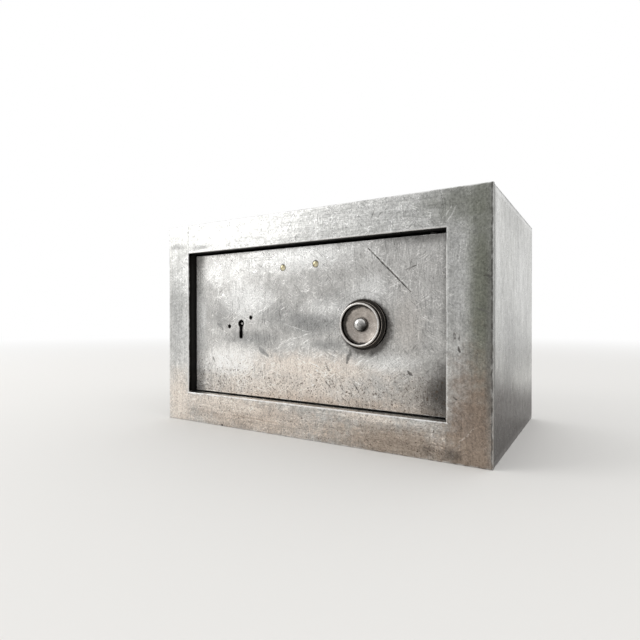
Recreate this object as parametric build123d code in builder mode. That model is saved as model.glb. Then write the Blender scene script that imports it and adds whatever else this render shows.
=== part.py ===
from build123d import *
import os
from math import acos, atan2, cos, degrees, hypot, radians, sin, sqrt

# Small steel safe with a recessed door, a turning knob that throws three bolts and a lever lock.
# Millimetres. +Z up, the front faces -Y, the origin is the middle of the base.
# "Depth" is measured backwards from the plane of the front frame.

# Case sizes
case_width = 300.0
case_height = 183.0
case_depth = 179.0
skin_thickness = 4.5
frame_thickness = 4.0
left_stile_width = 26.5
right_stile_width = 30.0
top_rail_width = 26.0
bottom_rail_width = 27.0
outer_arris = 1.2
opening_arris = 0.5

# Door sizes and the gaps round the door
door_recess = 9.0
door_thickness = 26.0
strike_gap = 1.2
hinge_gap = 1.2
top_gap = 1.8
bottom_gap = 1.0
door_plate_thickness = 6.0
door_cover_thickness = 2.0
door_bar_width = 8.0
hinge_bar_width = 20.0
door_arris = 0.5

# Hinge pins, their place in the door and the bearings in the case
hinge_inset = 13.0
hinge_set_back = 9.0
hinge_pin_diameter = 5.0
hinge_pin_grip = 14.0
hinge_block_width = 20.0
hinge_block_height = 8.0
hinge_running_clearance = 0.08
hinge_passing_clearance = 0.4
thrust_washer_diameter = 9.0
heel_relief = 3.5
heel_clearance = 0.6

# Jambs, stops, liner and fill
jamb_thickness = 3.0
strike_thickness = 5.0
stop_width = 5.0
stop_gap = 0.3
stop_end_clearance = 1.0
liner_thickness = 1.5
back_fill_thickness = 10.0

# Keyhole, holes of the lost key cover and studs of the lost badge, all on the door's face
keyhole_diameter = 6.6
keyhole_reach = 13.0
keyhole_waist = 2.5
keyhole_foot = 3.5
key_cover_hole_diameter = 3.0
key_cover_hole_offsets = [(-13.7, -2.7), (11.2, 5.3)]
badge_stud_offsets = [(-18.6, 16.4), (13.7, 15.2)]
badge_stud_diameter = 3.0
badge_head_diameter = 5.0
badge_head_height = 0.9
badge_head_bevel = 0.6

# Knob, turned from one bar, with its domed nut
knob_from_edge = 64.3
knob_front = 1.0
knob_diameter = 33.2
knob_rim_width = 1.8
knob_ridge_diameter = 34.4
knob_foot_diameter = 36.4
knob_rim_height = 2.0
knob_rim_bevel = 0.7
knob_waist_diameter = 31.6
knob_ridge_height = 0.8
knob_foot_height = 0.7
knob_web = 1.1
knob_dome_diameter = 11.4
knob_dome_clearance = 0.4
rosette_diameter = 38.4
rosette_thickness = 2.6
rosette_bevel = 0.8
knob_play = 0.3

# Spindle, its bush and the crank
spindle_diameter = 9.0
spindle_clearance = 0.05
spindle_square = 6.0
bush_wall = 2.0
bush_collar = 2.0
bush_collar_thickness = 1.5
crank_gap = 0.5
crank_thickness = 3.5
crank_pin_diameter = 5.0
crank_pin_chamfer = 0.5
crank_rim = 2.0
knob_turn_angle = 90.0

# Boltwork
bolt_throw = 12.0
bolt_diameter = 10.0
bolt_count = 3
bolt_from_edge = 20.0
bolt_tip_inset = 1.0
bolt_tip_chamfer = 1.0
bolt_guide_clearance = 0.1
strike_clearance = 1.0
bolt_fork_length = 8.0
bolt_rivet_diameter = 3.0
bolt_cheek_thickness = 1.5
carrier_thickness = 3.0
carrier_play = 1.5
carrier_end_clearance = 1.3
cross_bar_width = 12.0
cross_bar_overrun = 7.0
carrier_lock_gap = 4.0
carrier_corner = 3.0
crank_slot_clearance = 0.4
crank_slot_end_clearance = 0.8
crank_arm_wall = 5.5
guide_stud_diameter = 5.0
guide_clearance = 0.1
guide_end_clearance = 0.5
guide_collar_diameter = 9.0
guide_face_clearance = 0.2
guide_washer_thickness = 1.0
guide_stud_head = 0.8
first_guide_from_lock = 5.0
second_guide_from_knob = 34.5

# Lock, beside the boltwork; the key's centre lies at these distances inside its case
lock_width = 50.0
lock_height = 50.0
lock_from_cross_bar = 2.0
key_in_lock_side = 20.6
key_in_lock_height = 25.6
lock_floor = 2.0
lock_wall = 2.5
lock_case_depth = 12.0
lock_cap_thickness = 1.5
lock_boss_radius = 3.2
lock_boss_inset = 4.0
lock_screw_diameter = 3.0
lock_screw_head_diameter = 5.0
lock_screw_head_height = 1.5
lock_screw_bite = 3.0
drill_pin_diameter = 2.4
drill_pin_inset = 1.0

# Lock bolt and levers
lock_bolt_thickness = 3.0
lock_bolt_play = 0.3
lock_bolt_throw = 7.0
lock_bolt_head_width = 7.0
lock_bolt_head_gap = 1.5
lock_bolt_head_clearance = 1.0
lock_bolt_from_key = 8.9
lock_bolt_width = 11.5
lock_bolt_tail_width = 6.5
lock_bolt_tail_rise = 8.0
lock_bolt_body_rise = 16.0
lock_bolt_top_clearance = 1.0
lock_bolt_slide_clearance = 0.3
talon_radius = 4.0
tail_rib_width = 1.8
tail_rib_height = 6.5
notch_clearance = 0.4
notch_end_clearance = 1.0
stump_width = 3.0
stump_height = 4.0
stump_rise = 32.0
lever_count = 3
lever_thickness = 1.6
lever_spacing = 0.2
lever_gap = 0.3
lever_pivot_offset = 3.0
lever_pivot_rise = 12.0
lever_pivot_diameter = 4.0
lever_pivot_clearance = 0.08
lever_eye_radius = 4.5
lever_land = 2.2
lever_top_land = 2.0
gate_clearance = 0.25
pocket_clearance = 0.5
lever_drop_angle = 4.0
lever_belly_radius = 6.0
key_cut_radius = 11.0
spring_thickness = 0.5
spring_length = 16.0
spring_foot = 1.5
spring_wall_gap = 0.15

# Screws of the door's inner cover
cover_screw_diameter = 3.0
cover_screw_head_diameter = 5.6
cover_screw_length = 9.0
cover_screw_columns = 3

# Places worked out from the sizes above
half_width = case_width / 2
inner_half_width = half_width - skin_thickness
inner_low = skin_thickness
inner_high = case_height - skin_thickness
opening_left = -half_width + left_stile_width
opening_right = half_width - right_stile_width
opening_low = bottom_rail_width
opening_high = case_height - top_rail_width
door_left = opening_left + strike_gap
door_right = opening_right - hinge_gap
door_low = opening_low + bottom_gap
door_high = opening_high - top_gap
door_middle_z = (door_low + door_high) / 2
plate_back = door_recess + door_plate_thickness
door_back = door_recess + door_thickness
cover_front = door_back - door_cover_thickness

# The pivot, and how far behind it the door's heel sweeps
pivot_x = door_right - hinge_inset
pivot_depth = door_recess + hinge_set_back
heel_radius = hypot(hinge_inset, door_back - pivot_depth)
stop_front = door_back + stop_gap
liner_front = pivot_depth + heel_radius + heel_clearance
jamb_back = liner_front + liner_thickness
flange_front = jamb_back - jamb_thickness
heel_reach = sqrt(heel_radius**2 - (stop_front - pivot_depth) ** 2)
stop_end = pivot_x - heel_reach - stop_end_clearance
jamb_right = opening_right + heel_relief
jamb_low = opening_low - jamb_thickness
jamb_high = opening_high + jamb_thickness
strike_left = opening_left - strike_thickness

# The compartment inside the liner
room_left = opening_left + stop_width
room_right = jamb_right - stop_width
room_low = opening_low + stop_width
room_high = opening_high - stop_width
fill_back = case_depth - skin_thickness
room_back = fill_back - back_fill_thickness - liner_thickness

# The badge's studs and the knob's axis follow the door's edges
door_middle_x = (door_left + door_right) / 2
badge_stud_places = [(door_middle_x + x, door_high - down) for x, down in badge_stud_offsets]
knob_x = door_right - knob_from_edge
knob_z = door_middle_z

# The crank swings evenly to both sides of upright, so its radius follows from the throw
crank_half_angle = radians(knob_turn_angle / 2)
crank_radius = bolt_throw / 2 / sin(crank_half_angle)
crank_pin_x = knob_x + crank_radius * sin(crank_half_angle)
crank_pin_z = knob_z + crank_radius * cos(crank_half_angle)
crank_front = plate_back + bush_collar_thickness + crank_gap
crank_back = crank_front + crank_thickness
knob_back = door_recess - rosette_thickness - knob_play
knob_floor = knob_back - knob_web
knob_radius = knob_diameter / 2
knob_foot_radius = knob_foot_diameter / 2
knob_ridge_radius = knob_ridge_diameter / 2
knob_waist_radius = knob_waist_diameter / 2
knob_foot_front = knob_back - knob_foot_height
knob_ridge_front = knob_foot_front - knob_ridge_height
knob_neck_front = knob_front + knob_rim_height
bush_radius = spindle_diameter / 2 + spindle_clearance + bush_wall
carrier_front = crank_back + carrier_play
carrier_back = carrier_front + carrier_thickness
crank_pin_back = carrier_back + carrier_play

# The bolts' axis lies in the middle of the carrier's thickness
bolt_depth = (carrier_front + carrier_back) / 2
bolt_radius = bolt_diameter / 2
bolt_span = door_high - door_low - 2 * bolt_from_edge
bolt_heights = [
    door_low + bolt_from_edge + bolt_span * i / (bolt_count - 1) for i in range(bolt_count)
]
bolt_tip = door_left + bolt_tip_inset
cross_bar_left = door_left + door_bar_width + bolt_throw + carrier_end_clearance
cross_bar_right = cross_bar_left + cross_bar_width
bolt_tail = cross_bar_left + bolt_fork_length
bolt_rivet_x = cross_bar_left + bolt_fork_length / 2
fork_front = carrier_front - bolt_cheek_thickness
fork_back = carrier_back + bolt_cheek_thickness
cross_bar_low = bolt_heights[0] - cross_bar_overrun
crank_slot_half = crank_pin_diameter / 2 + crank_slot_clearance
crank_slot_low = crank_pin_z - crank_pin_diameter / 2 - crank_slot_end_clearance
crank_slot_high = knob_z + crank_radius + crank_pin_diameter / 2 + crank_slot_end_clearance

# Each bolt's tail is cut away in front of its cheeks, between them and behind them
fork_cuts = [
    (fork_front, fork_front - bolt_depth + bolt_radius),
    (carrier_back, carrier_thickness),
    (bolt_depth + bolt_radius, bolt_depth + bolt_radius - fork_back),
]

# The lock, from the door's plate backwards
lock_left = cross_bar_right + lock_from_cross_bar
key_x = lock_left + key_in_lock_side
key_z = door_middle_z
key_cover_hole_places = [(key_x + x, key_z + z) for x, z in key_cover_hole_offsets]
lock_low = key_z - key_in_lock_height
lock_right = lock_left + lock_width
lock_high = lock_low + lock_height
lock_inner_left = lock_left + lock_wall
lock_inner_right = lock_right - lock_wall
lock_inner_low = lock_low + lock_wall
lock_inner_high = lock_high - lock_wall
lock_floor_back = plate_back + lock_floor
lock_cap_front = plate_back + lock_case_depth
lock_cap_back = lock_cap_front + lock_cap_thickness
lock_bolt_front = lock_floor_back + lock_bolt_play
lock_bolt_back = lock_bolt_front + lock_bolt_thickness
lock_bolt_left = key_x + lock_bolt_from_key
lock_bolt_right = lock_bolt_left + lock_bolt_width
lock_bolt_tail_right = lock_bolt_left + lock_bolt_tail_width
lock_bolt_half_head = lock_bolt_head_width / 2
lock_bolt_x = lock_bolt_right - lock_bolt_half_head
lock_bolt_low = lock_low + lock_bolt_tail_rise
lock_bolt_body_low = lock_low + lock_bolt_body_rise
lock_bolt_shoulder = lock_inner_high - lock_bolt_throw - lock_bolt_top_clearance
stump_z = lock_low + stump_rise
lever_pivot_x = lock_bolt_x + lever_pivot_offset
lever_pivot_z = lock_low + lever_pivot_rise
lock_screw_places = [
    (x, z)
    for x in (lock_left + lock_boss_inset, lock_right - lock_boss_inset)
    for z in (lock_low + lock_boss_inset, lock_high - lock_boss_inset)
]

# The carrier's long bar lies above the lock, a gap above the head of the withdrawn lock bolt
carrier_bar_low = lock_high + carrier_lock_gap
carrier_bar_high = bolt_heights[-1] + cross_bar_overrun
carrier_bar_middle = (carrier_bar_low + carrier_bar_high) / 2
lock_bolt_top = carrier_bar_low - lock_bolt_head_gap
notch_half = lock_bolt_half_head + notch_clearance
notch_top = lock_bolt_top + lock_bolt_throw + notch_end_clearance
crank_arm_low = crank_slot_low - crank_arm_wall
crank_arm_left = crank_pin_x - crank_slot_half - crank_arm_wall
crank_arm_right = crank_pin_x + crank_slot_half + crank_arm_wall
guide_places = [lock_left + first_guide_from_lock, knob_x - second_guide_from_knob]
guide_slot_width = guide_stud_diameter + 2 * guide_clearance
guide_slot_length = guide_slot_width + bolt_throw + 2 * guide_end_clearance
guide_washer_back = carrier_back + guide_face_clearance + guide_washer_thickness
guide_stud_back = guide_washer_back + guide_stud_head
tail_rib_right = lock_bolt_tail_right + lock_bolt_slide_clearance
tail_rib_left = lock_bolt_left - lock_bolt_slide_clearance - tail_rib_width

# The levers are stacked behind the lock bolt; each is lifted at rest, as a turned key holds them
lever_fronts = [
    lock_bolt_back + lever_gap + i * (lever_thickness + lever_spacing) for i in range(lever_count)
]
stump_back = lever_fronts[-1] + lever_thickness + lever_gap
gate_half = stump_width / 2 + gate_clearance
pocket_half = stump_height / 2 + pocket_clearance
stump_high_z = stump_z + lock_bolt_throw
lever_drop = (stump_high_z + pocket_half - lever_pivot_z) * sin(radians(lever_drop_angle))
pocket_right = lock_bolt_x + gate_half + lever_drop
lever_left = lock_bolt_x - gate_half - lever_land
lever_right = pocket_right + lever_top_land
lever_top = stump_high_z + pocket_half + lever_top_land
lock_bolt_head_low = lever_top + lock_bolt_head_clearance
spring_top = lever_top - lever_top_land
spring_wall_x = lock_inner_right - spring_wall_gap

# Screws of the inner cover stand in two rows, in the top and bottom bars
cover_screw_span = door_right - hinge_bar_width - door_left - 2 * door_bar_width
cover_screw_middle = (door_left + door_right - hinge_bar_width + door_bar_width) / 2
cover_screw_xs = [
    cover_screw_middle + cover_screw_span * (i / (cover_screw_columns - 1) - 1 / 2)
    for i in range(cover_screw_columns)
]
cover_screw_zs = (door_low + door_bar_width / 2, door_high - door_bar_width / 2)
cover_screw_places = [(x, z) for x in cover_screw_xs for z in cover_screw_zs]
cover_screw_flare = (cover_screw_head_diameter - cover_screw_diameter) / 2
cover_screw_angle = degrees(atan2(cover_screw_flare, door_cover_thickness))


def depth_plane(depth):
    """Plane parallel to the front, with sketches in X and Z that extrude towards the front."""
    return Plane.XZ.offset(case_depth / 2 - depth)


def turning_plane(x, z):
    """Plane whose sketches are a radius and a depth, for a piece turned about a line along Y."""
    return Plane(origin=(x, -case_depth / 2, z), x_dir=(1, 0, 0), z_dir=(0, 0, 1))


def turning_axis(x, z):
    """Line along Y that a turned piece revolves about."""
    return Axis((x, -case_depth / 2, z), (0, 1, 0))


def depth_y(depth):
    """Y of a depth behind the front frame."""
    return depth - case_depth / 2


def dome_middle(foot, top):
    """Point half way along a spherical dome, from its foot's radius and depth and its top's depth."""
    foot_radius, foot_depth = foot
    height = foot_depth - top[1]
    sphere_radius = (foot_radius**2 + height**2) / (2 * height)
    half_angle = acos((sphere_radius - height) / sphere_radius) / 2
    return (sphere_radius * sin(half_angle), top[1] + sphere_radius * (1 - cos(half_angle)))


def rectangle_between(left, right, low, high, mode=Mode.ADD):
    """Rectangle given by its four sides."""
    with Locations(((left + right) / 2, (low + high) / 2)):
        Rectangle(right - left, high - low, mode=mode)


def keyhole(mode=Mode.SUBTRACT):
    """Round hole with a slot below it that flares towards its foot."""
    with Locations((key_x, key_z)):
        Circle(keyhole_diameter / 2, mode=mode)
        Polygon(
            (-keyhole_waist / 2, 0),
            (-keyhole_foot / 2, -keyhole_reach),
            (keyhole_foot / 2, -keyhole_reach),
            (keyhole_waist / 2, 0),
            align=None,
            mode=mode,
        )


pieces = {}

# Outer case: five plates behind the front frame
with BuildPart() as top_plate:
    with BuildSketch(depth_plane(case_depth)):
        rectangle_between(-half_width, half_width, inner_high, case_height)
    extrude(amount=case_depth - frame_thickness)
    fillet(top_plate.faces().sort_by(Axis.Z)[-1].edges().filter_by(Axis.Y), outer_arris)
pieces["top_plate"] = top_plate

with BuildPart() as bottom_plate:
    with BuildSketch(depth_plane(case_depth)):
        rectangle_between(-half_width, half_width, 0, inner_low)
    extrude(amount=case_depth - frame_thickness)
    fillet(bottom_plate.faces().sort_by(Axis.Z)[0].edges().filter_by(Axis.Y), outer_arris)
pieces["bottom_plate"] = bottom_plate

with BuildPart() as left_side_plate:
    with BuildSketch(depth_plane(case_depth)):
        rectangle_between(-half_width, -inner_half_width, inner_low, inner_high)
    extrude(amount=case_depth - frame_thickness)
pieces["left_side_plate"] = left_side_plate

with BuildPart() as right_side_plate:
    with BuildSketch(depth_plane(case_depth)):
        rectangle_between(inner_half_width, half_width, inner_low, inner_high)
    extrude(amount=case_depth - frame_thickness)
pieces["right_side_plate"] = right_side_plate

with BuildPart() as back_plate:
    with BuildSketch(depth_plane(case_depth)):
        rectangle_between(-inner_half_width, inner_half_width, inner_low, inner_high)
    extrude(amount=skin_thickness)
pieces["back_plate"] = back_plate

# Front frame: the stiles run the full height and the rails butt between them
frame_bars = {
    "left_stile": (-half_width, opening_left, 0, case_height),
    "right_stile": (opening_right, half_width, 0, case_height),
    "top_rail": (opening_left, opening_right, opening_high, case_height),
    "bottom_rail": (opening_left, opening_right, 0, opening_low),
}
for bar_name, (bar_left, bar_right, bar_low, bar_high) in frame_bars.items():
    with BuildPart() as frame_bar:
        with BuildSketch(depth_plane(frame_thickness)):
            rectangle_between(bar_left, bar_right, bar_low, bar_high)
        extrude(amount=frame_thickness)
        front_edges = frame_bar.faces().sort_by(Axis.Y)[0].edges()
        outer_edges = front_edges.filter_by(
            lambda edge: abs(edge.center().X) > half_width - outer_arris
            or abs(edge.center().Z - case_height / 2) > case_height / 2 - outer_arris
        )
        fillet(outer_edges, outer_arris)
        with BuildSketch(depth_plane(0)):
            rectangle_between(
                opening_left - opening_arris,
                opening_right + opening_arris,
                opening_low - opening_arris,
                opening_high + opening_arris,
            )
        with BuildSketch(depth_plane(opening_arris)):
            rectangle_between(opening_left, opening_right, opening_low, opening_high)
        loft(mode=Mode.SUBTRACT)
    pieces[bar_name] = frame_bar

# Jambs: angle bars that line the opening and close the wall behind it
with BuildPart() as left_jamb:
    with BuildSketch(Plane.XY.offset(jamb_low)):
        rectangle_between(strike_left, opening_left, depth_y(frame_thickness), depth_y(jamb_back))
        rectangle_between(-inner_half_width, strike_left, depth_y(flange_front), depth_y(jamb_back))
    extrude(amount=jamb_high - jamb_low)
    with BuildSketch(Plane.YZ.offset(strike_left)):
        with Locations(*[(depth_y(bolt_depth), z) for z in bolt_heights]):
            Circle(bolt_radius + strike_clearance)
    extrude(amount=strike_thickness, mode=Mode.SUBTRACT)
pieces["left_jamb"] = left_jamb

with BuildPart() as right_jamb:
    with BuildSketch(Plane.XY.offset(jamb_low)):
        rectangle_between(
            jamb_right, jamb_right + jamb_thickness, depth_y(frame_thickness), depth_y(jamb_back)
        )
        rectangle_between(
            jamb_right + jamb_thickness, inner_half_width, depth_y(flange_front), depth_y(jamb_back)
        )
    extrude(amount=jamb_high - jamb_low)
pieces["right_jamb"] = right_jamb

level_jambs = {
    "top_jamb": (opening_high, jamb_high, jamb_high, inner_high),
    "bottom_jamb": (jamb_low, opening_low, inner_low, jamb_low),
}
for jamb_name, (lining_low, lining_high, flange_low, flange_high) in level_jambs.items():
    with BuildPart() as level_jamb:
        with BuildSketch(depth_plane(jamb_back)):
            rectangle_between(opening_left, jamb_right, lining_low, lining_high)
        extrude(amount=jamb_back - frame_thickness)
        with BuildSketch(depth_plane(jamb_back)):
            rectangle_between(-inner_half_width, inner_half_width, flange_low, flange_high)
        extrude(amount=jamb_thickness)
        with BuildSketch(Plane.XY.offset(lining_low)):
            with Locations((pivot_x, depth_y(pivot_depth))):
                Circle(hinge_pin_diameter / 2 + hinge_passing_clearance)
        extrude(amount=lining_high - lining_low, mode=Mode.SUBTRACT)
    pieces[jamb_name] = level_jamb

# Hinge blocks: bearings for the two pins, behind the lining
hinge_blocks = {"upper_hinge_block": jamb_high, "lower_hinge_block": jamb_low - hinge_block_height}
for block_name, block_low in hinge_blocks.items():
    with BuildPart() as hinge_block:
        with BuildSketch(Plane.XY.offset(block_low)):
            with Locations((pivot_x, depth_y(pivot_depth))):
                Rectangle(hinge_block_width, hinge_block_width)
                Circle(hinge_pin_diameter / 2 + hinge_running_clearance, mode=Mode.SUBTRACT)
        extrude(amount=hinge_block_height)
    pieces[block_name] = hinge_block

with BuildPart() as thrust_washer:
    with BuildSketch(Plane.XY.offset(opening_low)):
        with Locations((pivot_x, depth_y(pivot_depth))):
            Circle(thrust_washer_diameter / 2)
            Circle(hinge_pin_diameter / 2 + hinge_running_clearance, mode=Mode.SUBTRACT)
    extrude(amount=bottom_gap)
pieces["thrust_washer"] = thrust_washer

# Door stops: flat bars in front of the liner's lip, clear of the heel on the hinge side
door_stops = {
    "left_stop": (opening_left, room_left, opening_low, opening_high),
    "top_stop": (room_left, stop_end, room_high, opening_high),
    "bottom_stop": (room_left, stop_end, opening_low, room_low),
}
for stop_name, (bar_left, bar_right, bar_low, bar_high) in door_stops.items():
    with BuildPart() as door_stop:
        with BuildSketch(depth_plane(liner_front)):
            rectangle_between(bar_left, bar_right, bar_low, bar_high)
        extrude(amount=liner_front - stop_front)
    pieces[stop_name] = door_stop

# Liner: folded sheets with a lip at the front that covers the fill
side_liners = {
    "liner_left": (room_left - liner_thickness, room_left, opening_left, room_left),
    "liner_right": (room_right, room_right + liner_thickness, room_right, jamb_right),
}
for liner_name, (wall_left, wall_right, lip_left, lip_right) in side_liners.items():
    with BuildPart() as side_liner:
        with BuildSketch(depth_plane(room_back + liner_thickness)):
            rectangle_between(
                wall_left, wall_right, room_low - liner_thickness, room_high + liner_thickness
            )
        extrude(amount=room_back + liner_thickness - liner_front)
        with BuildSketch(depth_plane(jamb_back)):
            rectangle_between(lip_left, lip_right, opening_low, opening_high)
        extrude(amount=liner_thickness)
    pieces[liner_name] = side_liner

level_liners = {
    "liner_top": (room_high, room_high + liner_thickness, room_high, opening_high),
    "liner_bottom": (room_low - liner_thickness, room_low, opening_low, room_low),
}
for liner_name, (wall_low, wall_high, lip_low, lip_high) in level_liners.items():
    with BuildPart() as level_liner:
        with BuildSketch(depth_plane(room_back + liner_thickness)):
            rectangle_between(room_left, room_right, wall_low, wall_high)
        extrude(amount=room_back + liner_thickness - liner_front)
        with BuildSketch(depth_plane(jamb_back)):
            rectangle_between(room_left, room_right, lip_low, lip_high)
        extrude(amount=liner_thickness)
    pieces[liner_name] = level_liner

with BuildPart() as liner_back:
    with BuildSketch(depth_plane(room_back + liner_thickness)):
        rectangle_between(room_left, room_right, room_low, room_high)
    extrude(amount=liner_thickness)
pieces["liner_back"] = liner_back

# Fireproof fill, poured between the plates and the liner
with BuildPart() as fireproof_fill:
    with BuildSketch(depth_plane(fill_back)):
        rectangle_between(-inner_half_width, inner_half_width, inner_low, inner_high)
    extrude(amount=fill_back - jamb_back)
    with BuildSketch(depth_plane(room_back + liner_thickness)):
        rectangle_between(
            room_left - liner_thickness,
            room_right + liner_thickness,
            room_low - liner_thickness,
            room_high + liner_thickness,
        )
    extrude(amount=room_back + liner_thickness - jamb_back, mode=Mode.SUBTRACT)
pieces["fireproof_fill"] = fireproof_fill

# Door: a thick front plate on a rim of four bars, closed by an inner cover
with BuildPart() as door_plate:
    with BuildSketch(depth_plane(plate_back)):
        rectangle_between(door_left, door_right, door_low, door_high)
        keyhole()
        with Locations(*key_cover_hole_places):
            Circle(key_cover_hole_diameter / 2, mode=Mode.SUBTRACT)
        with Locations(*badge_stud_places):
            Circle(badge_stud_diameter / 2, mode=Mode.SUBTRACT)
        with Locations((knob_x, knob_z)):
            Circle(bush_radius, mode=Mode.SUBTRACT)
    extrude(amount=door_plate_thickness)
    with BuildSketch(depth_plane(plate_back)):
        with Locations(*lock_screw_places):
            Circle(lock_screw_diameter / 2)
        with Locations(*[(x, carrier_bar_middle) for x in guide_places]):
            Circle(guide_stud_diameter / 2)
    extrude(amount=lock_screw_bite, mode=Mode.SUBTRACT)
    rim = door_plate.faces().sort_by(Axis.Y)[0].outer_wire().edges()
    chamfer(rim, door_arris)
pieces["door_plate"] = door_plate

with BuildPart() as door_lock_bar:
    with BuildSketch(depth_plane(cover_front)):
        rectangle_between(door_left, door_left + door_bar_width, door_low, door_high)
    extrude(amount=cover_front - plate_back)
    with BuildSketch(Plane.YZ.offset(door_left)):
        with Locations(*[(depth_y(bolt_depth), z) for z in bolt_heights]):
            Circle(bolt_radius + bolt_guide_clearance)
    extrude(amount=door_bar_width, mode=Mode.SUBTRACT)
pieces["door_lock_bar"] = door_lock_bar

with BuildPart() as door_hinge_bar:
    with BuildSketch(depth_plane(cover_front)):
        rectangle_between(door_right - hinge_bar_width, door_right, door_low, door_high)
    extrude(amount=cover_front - plate_back)
    for pin_low in (door_low, door_high - hinge_pin_grip):
        with BuildSketch(Plane.XY.offset(pin_low)):
            with Locations((pivot_x, depth_y(pivot_depth))):
                Circle(hinge_pin_diameter / 2)
        extrude(amount=hinge_pin_grip, mode=Mode.SUBTRACT)
pieces["door_hinge_bar"] = door_hinge_bar

rim_bars = {
    "door_top_bar": (door_high - door_bar_width, door_high),
    "door_bottom_bar": (door_low, door_low + door_bar_width),
}
for bar_name, (bar_low, bar_high) in rim_bars.items():
    with BuildPart() as rim_bar:
        with BuildSketch(depth_plane(cover_front)):
            rectangle_between(
                door_left + door_bar_width, door_right - hinge_bar_width, bar_low, bar_high
            )
        extrude(amount=cover_front - plate_back)
        with BuildSketch(depth_plane(cover_front)):
            with Locations(*cover_screw_places):
                Circle(cover_screw_diameter / 2)
        extrude(amount=cover_screw_length - door_cover_thickness, mode=Mode.SUBTRACT)
    pieces[bar_name] = rim_bar

with BuildPart() as door_cover:
    with BuildSketch(depth_plane(door_back)):
        rectangle_between(door_left, door_right, door_low, door_high)
    extrude(amount=door_cover_thickness)
    with BuildSketch(depth_plane(door_back)):
        with Locations(*cover_screw_places):
            Circle(cover_screw_head_diameter / 2)
    extrude(amount=door_cover_thickness, taper=cover_screw_angle, mode=Mode.SUBTRACT)
pieces["door_cover"] = door_cover

with BuildPart() as cover_screws:
    with BuildSketch(depth_plane(door_back)):
        with Locations(*cover_screw_places):
            Circle(cover_screw_head_diameter / 2)
    extrude(amount=door_cover_thickness, taper=cover_screw_angle)
    with BuildSketch(depth_plane(cover_front)):
        with Locations(*cover_screw_places):
            Circle(cover_screw_diameter / 2)
    extrude(amount=cover_screw_length - door_cover_thickness)
pieces["cover_screws"] = cover_screws

with BuildPart() as badge_studs:
    for stud_x, stud_z in badge_stud_places:
        with BuildSketch(turning_plane(stud_x, stud_z)):
            with BuildLine():
                Polyline(
                    (0, plate_back),
                    (badge_stud_diameter / 2, plate_back),
                    (badge_stud_diameter / 2, door_recess),
                    (badge_head_diameter / 2, door_recess),
                    (badge_head_diameter / 2 - badge_head_bevel, door_recess - badge_head_height),
                    (0, door_recess - badge_head_height),
                    close=True,
                )
            make_face()
        revolve(axis=turning_axis(stud_x, stud_z))
pieces["badge_studs"] = badge_studs

with BuildPart() as upper_hinge_pin:
    with BuildSketch(Plane.XY.offset(door_high - hinge_pin_grip)):
        with Locations((pivot_x, depth_y(pivot_depth))):
            Circle(hinge_pin_diameter / 2)
    extrude(amount=hinge_pin_grip + top_gap + jamb_thickness + hinge_block_height)
pieces["upper_hinge_pin"] = upper_hinge_pin

with BuildPart() as lower_hinge_pin:
    with BuildSketch(Plane.XY.offset(jamb_low - hinge_block_height)):
        with Locations((pivot_x, depth_y(pivot_depth))):
            Circle(hinge_pin_diameter / 2)
    extrude(amount=hinge_pin_grip + bottom_gap + jamb_thickness + hinge_block_height)
pieces["lower_hinge_pin"] = lower_hinge_pin

# Knob: its rosette and bush stay on the door, the turned cup, dome, spindle and crank turn
with BuildPart() as knob_rosette:
    with BuildSketch(depth_plane(door_recess)):
        with Locations((knob_x, knob_z)):
            Circle(rosette_diameter / 2)
            Circle(bush_radius, mode=Mode.SUBTRACT)
    extrude(amount=rosette_thickness)
    rosette_rim = knob_rosette.faces().sort_by(Axis.Y)[0].outer_wire().edges()
    chamfer(rosette_rim, rosette_bevel)
pieces["knob_rosette"] = knob_rosette

with BuildPart() as spindle_bush:
    with BuildSketch(turning_plane(knob_x, knob_z)):
        with BuildLine():
            Polyline(
                (spindle_diameter / 2 + spindle_clearance, door_recess - rosette_thickness),
                (bush_radius, door_recess - rosette_thickness),
                (bush_radius, plate_back),
                (bush_radius + bush_collar, plate_back),
                (bush_radius + bush_collar, plate_back + bush_collar_thickness),
                (spindle_diameter / 2 + spindle_clearance, plate_back + bush_collar_thickness),
                close=True,
            )
        make_face()
    revolve(axis=turning_axis(knob_x, knob_z))
pieces["spindle_bush"] = spindle_bush

with BuildPart() as knob:
    with BuildSketch(turning_plane(knob_x, knob_z)):
        with BuildLine():
            Polyline(
                (0, knob_floor),
                (0, knob_back),
                (knob_foot_radius, knob_back),
                (knob_foot_radius, knob_foot_front),
                (knob_ridge_radius, knob_foot_front),
                (knob_ridge_radius, knob_ridge_front),
                (knob_waist_radius, knob_ridge_front),
                (knob_waist_radius, knob_neck_front),
                (knob_radius, knob_neck_front),
                (knob_radius, knob_front + knob_rim_bevel),
                (knob_radius - knob_rim_width / 2, knob_front),
                (knob_radius - knob_rim_width, knob_front + knob_rim_bevel),
                (knob_radius - knob_rim_width, knob_floor),
                close=True,
            )
        make_face()
    revolve(axis=turning_axis(knob_x, knob_z))
pieces["knob"] = knob

with BuildPart() as knob_dome:
    with BuildSketch(turning_plane(knob_x, knob_z)):
        with BuildLine():
            dome_foot = (knob_dome_diameter / 2, knob_floor)
            dome_top = (0, knob_dome_clearance)
            ThreePointArc(dome_top, dome_middle(dome_foot, dome_top), dome_foot)
            Polyline(dome_foot, (0, knob_floor), dome_top)
        make_face()
    revolve(axis=turning_axis(knob_x, knob_z))
pieces["knob_dome"] = knob_dome

with BuildPart() as knob_spindle:
    with BuildSketch(depth_plane(crank_front)):
        with Locations((knob_x, knob_z)):
            Circle(spindle_diameter / 2)
    extrude(amount=crank_front - knob_back)
    with BuildSketch(depth_plane(crank_back)):
        with Locations((knob_x, knob_z)):
            Rectangle(spindle_square, spindle_square)
    extrude(amount=crank_thickness)
pieces["knob_spindle"] = knob_spindle

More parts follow.
